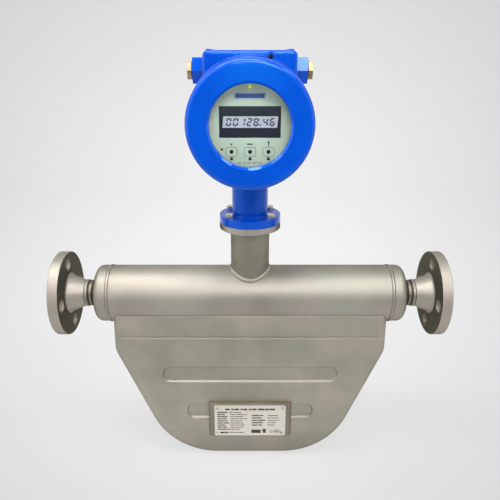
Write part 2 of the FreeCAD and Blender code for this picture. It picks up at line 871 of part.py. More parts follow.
def make_rivets(front):
    """Four domed blind rivets, through the plate and the bracket."""
    tip = -value(f"{front} - bracket_sheet")
    seat = -value(f"{front} + plate_thickness")
    head_radius = value("rivet_head_dia / 2")
    rise = value("rivet_head_height")
    ball_radius = (head_radius ** 2 + rise ** 2) / (2 * rise)
    rivets = []
    for across, up in rivet_places():
        foot = Vector(value(across), tip, value(up))
        shank = Part.makeCylinder(value("rivet_dia / 2"), tip - seat, foot, Vector(0, -1, 0))
        crown = Vector(value(across), seat - rise + ball_radius, value(up))
        head = Part.makeSphere(ball_radius, crown)
        reach = Part.makeCylinder(head_radius, 2 * rise, Vector(crown.x, seat, crown.z),
                                  Vector(0, -1, 0))
        rivets.append(shank.fuse(head.common(reach)).removeSplitter())
    keep_shape("nameplate_rivets", Part.makeCompound(rivets))


# Neck

def make_neck_pipe():
    """Pipe stub cut to sit on the round housing."""
    pipe = new_body("neck_pipe_blank", exported=False)
    top = "neck_flange_bottom + neck_socket_depth"
    outer = "neck_pipe_od / 2"
    turn(pipe, "pipe", "XZ_Plane", "Z_Axis", box_corners(
        (f"{outer} - neck_wall", "0"), (outer, top)))
    saddle = cylinder_along_x("neck_saddle", "housing_od / 2 + fit_gap", "2 * neck_pipe_od")
    subtract("neck_pipe", pipe, saddle, exported=True)


def make_neck_weld():
    """Fillet bead that follows the saddle where the neck meets the housing."""
    grow = value("saddle_weld_height")
    pipe_radius = value("neck_pipe_od / 2 + fit_gap")
    housing_radius = value("housing_od / 2 + fit_gap")
    reach = value("housing_od")
    up = Vector(0, 0, 1)
    along = Vector(1, 0, 0)
    start = Vector(-reach, 0, 0)
    ring = Part.makeCylinder(pipe_radius + grow, reach, Vector(), up)
    ring = ring.cut(Part.makeCylinder(pipe_radius, reach, Vector(), up))
    shell = Part.makeCylinder(housing_radius + grow, 2 * reach, start, along)
    shell = shell.cut(Part.makeCylinder(housing_radius, 2 * reach, start, along))
    bead = ring.common(shell)
    outside = [edge for edge in bead.Edges if is_on_bead_crown(edge, pipe_radius + grow,
                                                               housing_radius + grow)]
    keep_shape("neck_weld", bead.makeFillet(grow * 0.6, outside))


def is_on_bead_crown(edge, neck_radius, housing_radius):
    """True for the bead's outer edge, which lies on both outer cylinders."""
    point = edge.valueAt((edge.FirstParameter + edge.LastParameter) / 2)
    on_neck = abs(math.hypot(point.x, point.y) - neck_radius) < 0.01
    on_housing = abs(math.hypot(point.y, point.z) - housing_radius) < 0.01
    return on_neck and on_housing


def neck_screw_places():
    """Four screws, in pairs beside the X axis."""
    radius = "neck_screw_circle / 2"
    return [(f"{a} * {radius} * cos(neck_screw_turn)", f"{b} * {radius} * sin(neck_screw_turn)")
            for a in (-1, 1) for b in (-1, 1)]


def cut_screw_holes(body, height, depth, radius):
    holes = new_sketch(body, "screw_circles", "XY_Plane", height)
    for across, along in neck_screw_places():
        draw_circle(holes, across, along, radius)
    cut(body, "screw_holes", holes, depth)


NECK_JOINT = "neck_flange_bottom + neck_flange_thickness"


def make_neck_flange():
    """Ring welded on the neck pipe, with a seal groove in its top face."""
    body = new_body("neck_flange")
    bore = "neck_pipe_od / 2 - neck_wall"
    turn(body, "ring", "XZ_Plane", "Z_Axis", [
        ("neck_pipe_od / 2 + fit_gap", "neck_flange_bottom"),
        ("neck_flange_od / 2", "neck_flange_bottom", "rim_round"),
        ("neck_flange_od / 2", NECK_JOINT),
        (bore, NECK_JOINT),
        (bore, "neck_flange_bottom + neck_socket_depth"),
        ("neck_pipe_od / 2 + fit_gap", "neck_flange_bottom + neck_socket_depth"),
    ])
    turn(body, "seal_groove", "XZ_Plane", "Z_Axis", box_corners(
        ("neck_seal_dia / 2 - seal_section / 2", f"{NECK_JOINT} - seal_section"),
        ("neck_seal_dia / 2 + seal_section / 2", f"{NECK_JOINT} + seal_section")), "Groove")
    cut_screw_holes(body, NECK_JOINT, "neck_flange_thickness", "screw_dia / 2 + fit_gap")


def make_seal(label, plane, axis, radius, place, section, lift="0"):
    """Round-section seal ring, turned from a circle of the given section."""
    body = new_body(label, lift)
    sketch = new_sketch(body, "section", plane)
    draw_circle(sketch, radius, place, f"({section}) / 2")
    ring = add_feature(body, "Revolution", "ring", sketch)
    ring.ReferenceAxis = (origin_feature(body, axis), [""])
    ring.Angle = 360


def make_neck_screws():
    """Hexagon screws from the head's flange into the neck's flange."""
    seat = value(f"{NECK_JOINT} + head_flange_thickness")
    flats = value("screw_head_flats")
    reach = value("head_flange_thickness + neck_flange_thickness")
    screws = []
    for across, along in neck_screw_places():
        middle = Vector(value(across), value(along), seat)
        corners = [middle + Rotation(Vector(0, 0, 1), turn_angle).multVec(
            Vector(flats / 2 / math.cos(math.radians(30)), 0, 0)) for turn_angle in range(0, 361, 60)]
        head = Part.Face(Part.makePolygon(corners)).extrude(Vector(0, 0, value("screw_head_height")))
        shank = Part.makeCylinder(value("screw_dia / 2"), reach, middle, Vector(0, 0, -1))
        screws.append(head.fuse(shank))
    keep_shape("neck_screws", Part.makeCompound(screws))


def make_feedthrough():
    """Sealed plate in the neck pipe that carries the sensor wires out of the case."""
    body = new_body("wire_feedthrough")
    radius = "neck_pipe_od / 2 - neck_wall - fit_gap"
    top = "feed_height + feed_thickness"
    turn(body, "plate", "XZ_Plane", "Z_Axis", [
        ("0", "feed_height"), (radius, "feed_height"), (radius, top),
        ("feed_glass_dia / 2", top), ("feed_glass_dia / 2", f"{top} + feed_glass_height"),
        ("0", f"{top} + feed_glass_height")])


def make_cable():
    """Sensor cable from the feedthrough up the neck to the main board."""
    body = new_body("sensor_cable")
    foot = "feed_height + feed_thickness + feed_glass_height"
    entry = "head_height - drum_dia / 2"
    board = "-(main_board_front - board_thickness)"
    turn_up = "head_height - board_bottom - cable_dia / 2 + board_thickness"
    path = new_sketch(body, "path", "YZ_Plane")
    draw_outline(path, [
        ("0", foot),
        ("0", f"{entry} - 4 * cable_dia", "3 * cable_dia"),
        ("-cable_hole_front", f"{entry} - cable_dia", "3 * cable_dia"),
        ("-cable_hole_front", f"{turn_up} + cable_dia", "2 * cable_dia"),
        (board, f"{turn_up} + cable_dia"),
    ], closed=False)
    section = new_sketch(body, "section", "XY_Plane", foot)
    draw_circle(section, "0", "0", "cable_dia / 2")
    DOC.recompute()
    cable = add_feature(body, "AdditivePipe", "cable", section)
    cable.Spine = (path, [f"Edge{i}" for i in range(1, len(path.Shape.Edges) + 1)])


# Head casting, drawn about the axis of its covers

HEAD_FOOT = f"{NECK_JOINT} - head_height"


def add_head_box(body):
    """Square upper part that carries the conduit entries."""
    outline = new_sketch(body, "box_outline", "XZ_Plane", "-box_back")
    draw_outline(outline, [
        ("-box_half_width", "0"), ("box_half_width", "0"),
        ("box_half_width", "box_top", "box_corner"), ("-box_half_width", "box_top", "box_corner")])
    box = pad(body, "box", outline, "box_front + box_back")

    def is_rim(edge, ends=(lies_at("Y", "-box_front"), lies_at("Y", "box_back")),
               foot=lies_at("Z", "head_height")):
        return any(end(edge) for end in ends) and not foot(edge)
    soften(body, "box_rims", box, [is_rim], "box_edge")


def add_head_drum(body):
    """Round main part with the collar that the front cover closes on."""
    turn(body, "drum", "XY_Plane", "Y_Axis", [
        ("0", "-collar_front"),
        ("collar_dia / 2", "-collar_front", "rim_round"),
        ("collar_dia / 2", "-collar_back", "rim_round"),
        ("drum_dia / 2", "-collar_back + (collar_dia - drum_dia) / 2"),
        ("drum_dia / 2", "drum_back", "rim_round"),
        ("0", "drum_back"),
    ])


def add_head_neck(body):
    """Neck tube and the flange that bolts to the sensor."""
    flange_top = f"{HEAD_FOOT} + head_flange_thickness"
    inside = "-(drum_dia / 2 - drum_wall)"
    turn(body, "neck", "XZ_Plane", "Z_Axis", [
        ("0", HEAD_FOOT),
        ("neck_flange_od / 2", HEAD_FOOT),
        ("neck_flange_od / 2", flange_top, "rim_round"),
        ("head_neck_od / 2", flange_top, "head_neck_fillet"),
        ("head_neck_od / 2", inside),
        ("0", inside),
    ])


def add_head_bosses(body):
    """Hexagonal conduit bosses on both sides, the lock screw's lug and two ribs on top."""
    hexagon = new_sketch(body, "boss_hexagon", "YZ_Plane")
    draw_outline(hexagon, hexagon_corners("conduit_back", "conduit_height", "conduit_flats"))
    pad(body, "bosses", hexagon, "2 * conduit_reach", both=True)
    lug = new_sketch(body, "lug_circle", "XZ_Plane", "collar_back")
    draw_circle(lug, "lug_reach * cos(lug_turn)", "lug_reach * sin(lug_turn)", "lug_dia / 2")
    pad(body, "lug", lug, "collar_front - collar_back")
    for name, side in (("left", -1), ("right", 1)):
        rib = new_sketch(body, f"{name}_rib_outline", "XZ_Plane", "-(box_back - 2 * box_edge)")
        draw_outline(rib, box_corners(
            (towards(side, "rib_place - rib_width / 2"), "box_top - box_wall"),
            (towards(side, "rib_place + rib_width / 2"), "box_top + rib_height")))
        pad(body, f"{name}_rib", rib, "box_front + box_back - 4 * box_edge")


def cut_head_rooms(body):
    """Front room for the electronics and rear room for the terminals, each with its thread."""
    inside = "drum_dia / 2 - drum_wall"
    wall_back = "(partition_place + partition_wall)"
    turn(body, "front_room", "XY_Plane", "Y_Axis", [
        ("0", "-2 * collar_front"),
        ("front_thread_dia / 2", "-2 * collar_front"),
        ("front_thread_dia / 2", "-collar_front + thread_length"),
        (inside, "-collar_front + thread_length"),
        (inside, "partition_place"),
        ("0", "partition_place"),
    ], "Groove")
    turn(body, "rear_room", "XY_Plane", "Y_Axis", [
        ("0", wall_back),
        ("rear_thread_dia / 2 - fit_gap", wall_back),
        ("rear_thread_dia / 2 - fit_gap", "drum_back - thread_length"),
        ("rear_thread_dia / 2", "drum_back - thread_length"),
        ("rear_thread_dia / 2", "2 * drum_back"),
        ("0", "2 * drum_back"),
    ], "Groove")
    rooms = (("front_box_room", "-partition_place", "partition_place + box_front - box_wall"),
             ("rear_box_room", "-(box_back - box_wall)", f"box_back - box_wall - {wall_back}"))
    for name, lift, depth in rooms:
        room = new_sketch(body, f"{name}_outline", "XZ_Plane", lift)
        draw_outline(room, [
            ("-(box_half_width - box_wall)", "0"), ("box_half_width - box_wall", "0"),
            ("box_half_width - box_wall", "box_top - box_wall", "box_corner / 2"),
            ("-(box_half_width - box_wall)", "box_top - box_wall", "box_corner / 2")])
        cut(body, name, room, depth, back=True)


def cut_head_holes(body):
    """Neck bore, cable hole, conduit threads, lock screw hole and flange holes."""
    bore = new_sketch(body, "neck_bore_circle", "XY_Plane", HEAD_FOOT)
    draw_circle(bore, "0", "0", "head_neck_bore / 2")
    roof = "-(drum_dia / 2 + head_neck_roof)"
    cut(body, "neck_bore", bore, f"{roof} - ({HEAD_FOOT})", back=True)
    hole = new_sketch(body, "cable_hole_circle", "XY_Plane", f"{roof} - head_neck_roof")
    draw_circle(hole, "0", "-cable_hole_front", "cable_hole_dia / 2")
    cut(body, "cable_hole", hole, "3 * head_neck_roof + drum_wall", back=True)
    conduit = new_sketch(body, "conduit_circle", "YZ_Plane")
    draw_circle(conduit, "conduit_back", "conduit_height", "conduit_bore / 2")
    cut(body, "conduits", conduit, "4 * conduit_reach", both=True)
    lock = new_sketch(body, "lock_circle", "XZ_Plane", "collar_front")
    draw_circle(lock, "lug_reach * cos(lug_turn)", "lug_reach * sin(lug_turn)",
                "lock_screw_dia / 2 + fit_gap")
    cut(body, "lock_hole", lock, "lock_screw_length")
    cut_screw_holes(body, f"{HEAD_FOOT} + head_flange_thickness", "head_flange_thickness",
                    "(screw_dia + screw_clearance) / 2")


def make_head_housing():
    """Die-cast head: drum, box, neck and bosses, hollowed into two rooms."""
    body = new_body("head_housing", "head_height")
    add_head_box(body)
    add_head_drum(body)
    add_head_neck(body)
    add_head_bosses(body)
    cut_head_rooms(body)
    cut_head_holes(body)


def make_lock_screw():
    """Set screw that keeps the front cover from turning."""
    body = new_body("cover_lock_screw", "head_height")
    screw = new_sketch(body, "circle", "XZ_Plane", "collar_front")
    draw_circle(screw, "lug_reach * cos(lug_turn)", "lug_reach * sin(lug_turn)",
                "lock_screw_dia / 2")
    pad(body, "screw", screw, "lock_screw_length", back=True)
    socket = new_sketch(body, "socket_hexagon", "XZ_Plane", "collar_front")
    draw_outline(socket, hexagon_corners(
        "lug_reach * cos(lug_turn)", "lug_reach * sin(lug_turn)", "lock_screw_dia / 2"))
    cut(body, "socket", socket, "lock_screw_dia / 2")


# Covers

COVER_SEAT = "-(collar_front + cover_gap)"


def make_front_cover():
    """Screw cover: crowned rim, window opening, glass seat and threaded skirt."""
    body = new_body("front_cover", "head_height")
    thread = "front_thread_dia / 2 - cover_gap"
    skirt_end = "-(collar_front - thread_length + cover_gap)"
    front = "-cover_front"
    relief = "cover_back_dia / 2 - cover_wall"
    seat = "-(cover_front - window_rim)"
    ledge = f"{seat} + window_thickness + gasket_thickness + retainer_thickness"
    turn(body, "ring", "XY_Plane", "Y_Axis", [
        ("window_opening / 2", f"{front} + window_bevel"),
        ("window_opening / 2 + window_bevel", front),
        ("cover_dia / 2", front, "cover_shoulder"),
        ("cover_back_dia / 2", COVER_SEAT, "rim_round"),
        (f"{thread} - ring_section", COVER_SEAT),
        (f"{thread} - ring_section", f"{COVER_SEAT} + ring_section + fit_gap"),
        (thread, f"{COVER_SEAT} + ring_section + fit_gap"),
        (thread, skirt_end),
        (f"{thread} - thread_wall", skirt_end),
        (f"{thread} - thread_wall", f"{COVER_SEAT} - ring_section"),
        (relief, f"{COVER_SEAT} - ring_section - thread_wall"),
        (relief, f"{ledge} + thread_wall"),
        ("window_seat_dia / 2", ledge),
        ("window_seat_dia / 2", seat),
        ("window_opening / 2", seat),
    ])


def make_window():
    """Glass, the gasket in front of it and the ring that holds both in the cover."""
    seat = "-(cover_front - window_rim)"
    glass_front = f"{seat} + gasket_thickness"
    glass_back = f"{glass_front} + window_thickness"
    outer = "window_seat_dia / 2 - fit_gap"
    glass = new_body("front_window", "head_height")
    turn(glass, "disc", "XY_Plane", "Y_Axis", box_corners(("0", glass_front), (outer, glass_back)))
    gasket = new_body("window_gasket", "head_height")
    turn(gasket, "ring", "XY_Plane", "Y_Axis", box_corners(
        (f"{outer} - gasket_width", seat), (outer, glass_front)))
    retainer = new_body("window_retainer", "head_height")
    turn(retainer, "ring", "XY_Plane", "Y_Axis", box_corners(
        (f"{outer} - retainer_width", glass_back), (outer, f"{glass_back} + retainer_thickness")))


def make_rear_cover():
    """Blind screw cover of the terminal room."""
    body = new_body("rear_cover", "head_height")
    thread = "rear_thread_dia / 2 - cover_gap"
    seat = "drum_back + cover_gap"
    back = f"{seat} + rear_cover_depth"
    skirt_end = f"{seat} - thread_length + 2 * cover_gap"
    inner = f"{thread} - thread_wall"
    turn(body, "lid", "XY_Plane", "Y_Axis", [
        ("0", back),
        ("rear_cover_dia / 2", back, "rear_cover_shoulder"),
        ("rear_cover_dia / 2", seat, "rim_round"),
        (f"{thread} - ring_section", seat),
        (f"{thread} - ring_section", f"{seat} - ring_section - fit_gap"),
        (thread, f"{seat} - ring_section - fit_gap"),
        (thread, skirt_end),
        (inner, skirt_end),
        (inner, f"{back} - rear_cover_wall", "rear_cover_shoulder / 2"),
        ("0", f"{back} - rear_cover_wall"),
    ])


def make_cover_rings():
    """Seal rings, free in the grooves behind each cover's rim."""
    section = "ring_section - 2 * cover_gap"
    sink = "(cover_gap + ring_section) / 2"
    make_seal("front_cover_seal", "XY_Plane", "Y_Axis", f"front_thread_dia / 2 - {sink}",
              f"{COVER_SEAT} + ring_section / 2", section, "head_height")
    make_seal("rear_cover_seal", "XY_Plane", "Y_Axis", f"rear_thread_dia / 2 - {sink}",
              "drum_back + cover_gap - ring_section / 2", section, "head_height")


# Display and electronics

BOARD_SEAT = "-(dial_front - dial_depth)"
SCREEN_LOW = "screen_raise - screen_height / 2"
SCREEN_HIGH = "screen_raise + screen_height / 2"


def key_places():
    return [(f"{column} * key_pitch", "-key_drop") for column in (-1, 0, 1)]


def make_display_plate():
    """Moulded dial: a shallow cup with openings for the screen, the keys and the lamp."""
    body = new_body("display_plate", "head_height")
    turn(body, "cup", "XY_Plane", "Y_Axis", [
        ("0", "-dial_front"),
        ("dial_dia / 2", "-dial_front", "rim_round"),
        ("dial_dia / 2", BOARD_SEAT),
        ("dial_dia / 2 - dial_rim", BOARD_SEAT),
        ("dial_dia / 2 - dial_rim", "-(dial_front - dial_thickness)"),
        ("0", "-(dial_front - dial_thickness)"),
    ])
    screen = new_sketch(body, "screen_outline", "XZ_Plane", "dial_front")
    draw_outline(screen, box_corners(
        ("-screen_width / 2 - fit_gap", f"{SCREEN_LOW} - fit_gap"),
        ("screen_width / 2 + fit_gap", f"{SCREEN_HIGH} + fit_gap")))
    cut(body, "screen_opening", screen, "2 * dial_thickness")
    holes = new_sketch(body, "hole_circles", "XZ_Plane", "dial_front")
    for across, up in key_places():
        draw_circle(holes, across, up, "key_dia / 2 + fit_gap")
    draw_circle(holes, "0", "led_raise", "led_dia / 2 + fit_gap")
    cut(body, "holes", holes, "2 * dial_thickness")


def make_screen():
    body = new_body("display_screen", "head_height")
    outline = new_sketch(body, "outline", "XZ_Plane", "dial_front - screen_sink")
    draw_outline(outline, box_corners(("-screen_width / 2", SCREEN_LOW),
                                      ("screen_width / 2", SCREEN_HIGH)))
    pad(body, "glass", outline, "dial_depth - screen_sink", back=True)


def make_keys_and_lamp():
    """Optical keys behind the window and the round status lamp above the screen."""
    front = -value("dial_front")
    back = value(BOARD_SEAT)
    lift = value("head_height")
    keys = []
    for across, up in key_places():
        base = Vector(value(across), back, value(up) + lift)
        keys.append(Part.makeCylinder(value("key_dia / 2"), back - front, base, Vector(0, -1, 0)))
    keep_shape("optical_keys", Part.makeCompound(keys))
    lamp = new_body("status_led", "head_height")
    lamp_circle = new_sketch(lamp, "circle", "XZ_Plane", "dial_front - dial_depth")
    draw_circle(lamp_circle, "0", "led_raise", "led_dia / 2")
    pad(lamp, "lens", lamp_circle, "dial_depth + rim_round")


def post_places():
    return [(f"{a} * post_across", f"{b} * post_up") for a in (-1, 1) for b in (-1, 1)]


def make_board(label, front, outline_corners, chips):
    """Circuit board with its taller parts, drilled where the posts pass."""
    body = new_body(label, "head_height")
    outline = new_sketch(body, "outline", "XZ_Plane", f"{front} - board_thickness")
    draw_outline(outline, outline_corners)
    pad(body, "board", outline, "board_thickness")
    for index, (low, high) in enumerate(chips):
        chip = new_sketch(body, f"chip_{index}_outline", "XZ_Plane", f"{front} - 2 * board_thickness")
        draw_outline(chip, box_corners(low, high))
        pad(body, f"chip_{index}", chip, "chip_height")
    holes = new_sketch(body, "post_circles", "XZ_Plane", front)
    for across, up in post_places():
        draw_circle(holes, across, up, "post_dia / 2 + fit_gap")
    cut(body, "post_holes", holes, "board_thickness")


def make_electronics():
    """Display board, main board, power board and the four posts that carry them."""
    display = new_body("display_board", "head_height")
    turn(display, "board", "XY_Plane", "Y_Axis", box_corners(
        ("0", BOARD_SEAT), ("dial_dia / 2", f"{BOARD_SEAT} + board_thickness")))
    half = "board_width / 2"
    sheet_corners = box_corners((f"-{half}", "-board_bottom"), (half, "board_top"))
    chip = "chip_height"
    make_board("main_board", "main_board_front", sheet_corners, [
        ((f"-3 * {chip}", f"-2 * {chip}"), (f"2 * {chip}", f"3 * {chip}")),
        ((f"4 * {chip}", f"-4 * {chip}"), (f"7 * {chip}", f"-{chip}")),
        ((f"-7 * {chip}", f"4 * {chip}"), (f"-5 * {chip}", f"7 * {chip}")),
    ])
    make_board("power_board", "power_board_front", box_corners(
        (f"-{half}", "-board_bottom + 2 * cable_dia"), (half, "board_top")), [
        ((f"-7 * {chip}", f"-2 * {chip}"), (f"-3 * {chip}", f"3 * {chip}")),
        ((f"2 * {chip}", f"-{chip}"), (f"6 * {chip}", f"5 * {chip}")),
    ])
    make_posts()


def make_posts():
    root = value("partition_place")
    tip = value(f"{BOARD_SEAT} + board_thickness")
    lift = value("head_height")
    posts = []
    for across, up in post_places():
        base = Vector(value(across), root, value(up) + lift)
        posts.append(Part.makeCylinder(value("post_dia / 2"), root - tip, base, Vector(0, -1, 0)))
    keep_shape("board_posts", Part.makeCompound(posts))


def make_terminals():
    """Terminal block on the rear of the partition, with a row of wire holes."""
    body = new_body("terminal_block", "head_height")
    root = "-(partition_place + partition_wall)"
    outline = new_sketch(body, "outline", "XZ_Plane", root)
    draw_outline(outline, box_corners(("-terminal_width / 2", "-terminal_height / 2"),
                                      ("terminal_width / 2", "terminal_height / 2")))
    pad(body, "block", outline, "terminal_depth", back=True)
    holes = new_sketch(body, "wire_circles", "XZ_Plane", f"{root} - terminal_depth")
    count = int(value("terminal_count"))
    for index in range(count):
        draw_circle(holes, f"({index} - (terminal_count - 1) / 2) * terminal_pitch",
                    "terminal_height / 4", "terminal_hole / 2")
    cut(body, "wire_holes", holes, "terminal_depth / 2", back=True)


# Conduit plugs

def make_plug(label, side):
    """Hexagon plug in one conduit entry."""
    body = new_body(label, "head_height")
    seat = "conduit_reach + plug_seal_thickness"
    head = new_sketch(body, "head_hexagon", "YZ_Plane", towards(side, seat))
    draw_outline(head, hexagon_corners("conduit_back", "conduit_height", "plug_flats"))
    pad(body, "head", head, "plug_head", back=side < 0)
    thread = new_sketch(body, "thread_circle", "YZ_Plane", towards(side, seat))
    draw_circle(thread, "conduit_back", "conduit_height", "conduit_bore / 2 - fit_gap")
    pad(body, "thread", thread, "plug_thread_length", back=side > 0)


def make_plug_seals():
    """Flat seal ring under each plug's head."""
    outer = value("conduit_bore / 2 - fit_gap + plug_seal_width")
    inner = value("conduit_bore / 2")
    place = (value("conduit_back"), value("conduit_height + head_height"))
    rings = []
    for side in (-1, 1):
        base = Vector(side * value("conduit_reach"), *place)
        along = Vector(side, 0, 0)
        thickness = value("plug_seal_thickness")
        ring = Part.makeCylinder(outer, thickness, base, along)
        rings.append(ring.cut(Part.makeCylinder(inner, thickness, base, along)))
    keep_shape("plug_seals", Part.makeCompound(rings))


# The whole meter

def make_sensor():
    for name, side in (("inlet", -1), ("outlet", 1)):
        make_flange(f"{name}_flange", side)
        make_pipe_weld(f"{name}_pipe_weld", side)
        make_end_cap(f"{name}_end_cap", side)
        make_splitter(f"{name}_splitter", side)
        make_brace(f"{name}_brace_plate", side)
    make_housing()
    make_cap_welds()
    make_case()
    make_flow_tube("front_flow_tube", "-tube_spread")
    make_flow_tube("rear_flow_tube", "tube_spread")
    for name, station in stations().items():
        make_coil(f"{name}_coil", station)
        make_magnet_holder(f"{name}_magnet_holder", station)
        make_magnet(f"{name}_magnet", station)
    make_probe()
    make_nameplate()


def make_neck():
    make_neck_pipe()
    make_neck_weld()
    make_neck_flange()
    make_seal("neck_seal", "XZ_Plane", "Z_Axis", "neck_seal_dia / 2",
              f"{NECK_JOINT} - seal_section / 2", "seal_section - fit_gap")
    make_neck_screws()
    make_feedthrough()
    make_cable()


def make_head():
    make_head_housing()
    make_lock_screw()
    make_front_cover()
    make_window()
    make_rear_cover()
    make_cover_rings()
    make_display_plate()
    make_screen()
    make_keys_and_lamp()
    make_electronics()
    make_terminals()
    make_plug("left_conduit_plug", -1)
    make_plug("right_conduit_plug", 1)
    make_plug_seals()


def check_document():
    """Stop if any object failed, before anything is written."""
    DOC.recompute()
    for item in DOC.Objects:
        if "Invalid" in item.State or "Error" in item.State:
            raise ValueError(f"{item.Name} failed: {item.State}")
    for item in PARTS:
        if item.Shape.isNull() or not item.Shape.isValid() or not item.Shape.Solids:
            raise ValueError(f"{item.Label} has no valid solid")


def write_parts():
    os.makedirs("parts", exist_ok=True)
    for item in PARTS:
        item.Shape.exportStep(f"parts/{item.Label}.step")


make_sensor()
make_neck()
make_head()
check_document()
write_parts()
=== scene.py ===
"""The flow meter's looks: camera, light, finishes, weld ripples and the marks on dial and plate."""
import json
import math

import bpy
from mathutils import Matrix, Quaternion, Vector


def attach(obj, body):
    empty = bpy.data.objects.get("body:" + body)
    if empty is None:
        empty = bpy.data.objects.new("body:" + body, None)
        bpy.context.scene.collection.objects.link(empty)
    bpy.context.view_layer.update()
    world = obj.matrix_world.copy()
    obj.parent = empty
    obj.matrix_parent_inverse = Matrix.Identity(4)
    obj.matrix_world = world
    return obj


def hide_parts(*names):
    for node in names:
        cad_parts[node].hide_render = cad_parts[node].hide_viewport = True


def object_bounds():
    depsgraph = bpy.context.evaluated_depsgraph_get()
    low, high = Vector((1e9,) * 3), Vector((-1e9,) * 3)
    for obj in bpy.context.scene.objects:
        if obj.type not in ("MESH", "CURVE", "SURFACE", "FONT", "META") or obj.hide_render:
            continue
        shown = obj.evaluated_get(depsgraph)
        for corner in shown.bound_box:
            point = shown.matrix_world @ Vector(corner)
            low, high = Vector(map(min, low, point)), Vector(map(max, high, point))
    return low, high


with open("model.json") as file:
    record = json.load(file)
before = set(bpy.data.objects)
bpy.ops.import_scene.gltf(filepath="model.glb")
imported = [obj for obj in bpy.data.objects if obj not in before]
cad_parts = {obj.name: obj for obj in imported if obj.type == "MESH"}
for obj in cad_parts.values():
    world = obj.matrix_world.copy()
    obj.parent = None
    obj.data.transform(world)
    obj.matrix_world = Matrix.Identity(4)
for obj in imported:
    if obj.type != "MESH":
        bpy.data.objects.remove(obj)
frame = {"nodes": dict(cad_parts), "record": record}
cad_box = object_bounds()

MM = 0.001
QUARTER = math.pi / 2

# Where things are, in metres: X along the pipe from the inlet face, Z up, the display faces -Y
MIDDLE = 0.2475
DIAL_HEIGHT = 0.225
FLOOR = cad_box[0].z

# What is printed on: the height of its middle, and its front face along Y
DIAL = (DIAL_HEIGHT, -0.070)
SCREEN = (DIAL_HEIGHT, -0.0694)
PLATE = (-0.1716, -0.0408)


def shade(red, green, blue):
    """A display colour of 0 to 255 a channel, as the linear colour that shaders take."""
    channels = []
    for level in (red, green, blue):
        level /= 255
        channels.append(level / 12.92 if level <= 0.04045 else ((level + 0.055) / 1.055) ** 2.4)
    return (*channels, 1.0)


# Shader nodes

GREEN_CLOUD = (0.968, 1.0, 0.958, 1.0)
ROSY_CLOUD = (1.026, 0.984, 0.976, 1.0)
CLOUD_SCALE = 13.0


class Wire:
    """An output of a shader node. Sums on it add Math nodes beside it."""

    def __init__(self, nodes, socket):
        self.nodes = nodes
        self.socket = socket

    def maths(self, operation, *terms):
        return self.nodes.maths(operation, *terms)

    def other(self, output):
        """Another output of the same node."""
        return Wire(self.nodes, self.socket.node.outputs[output])

    def __add__(self, term):
        return self.maths("ADD", self, term)

    def __sub__(self, term):
        return self.maths("SUBTRACT", self, term)

    def __rsub__(self, term):
        return self.maths("SUBTRACT", term, self)

    def __mul__(self, term):
        return self.maths("MULTIPLY", self, term)

    def __truediv__(self, term):
        return self.maths("DIVIDE", self, term)

    def __pow__(self, term):
        return self.maths("POWER", self, term)

    def __lt__(self, term):
        return self.maths("LESS_THAN", self, term)

    def __gt__(self, term):
        return self.maths("GREATER_THAN", self, term)

    def __abs__(self):
        return self.maths("ABSOLUTE", self)

    __radd__ = __add__
    __rmul__ = __mul__


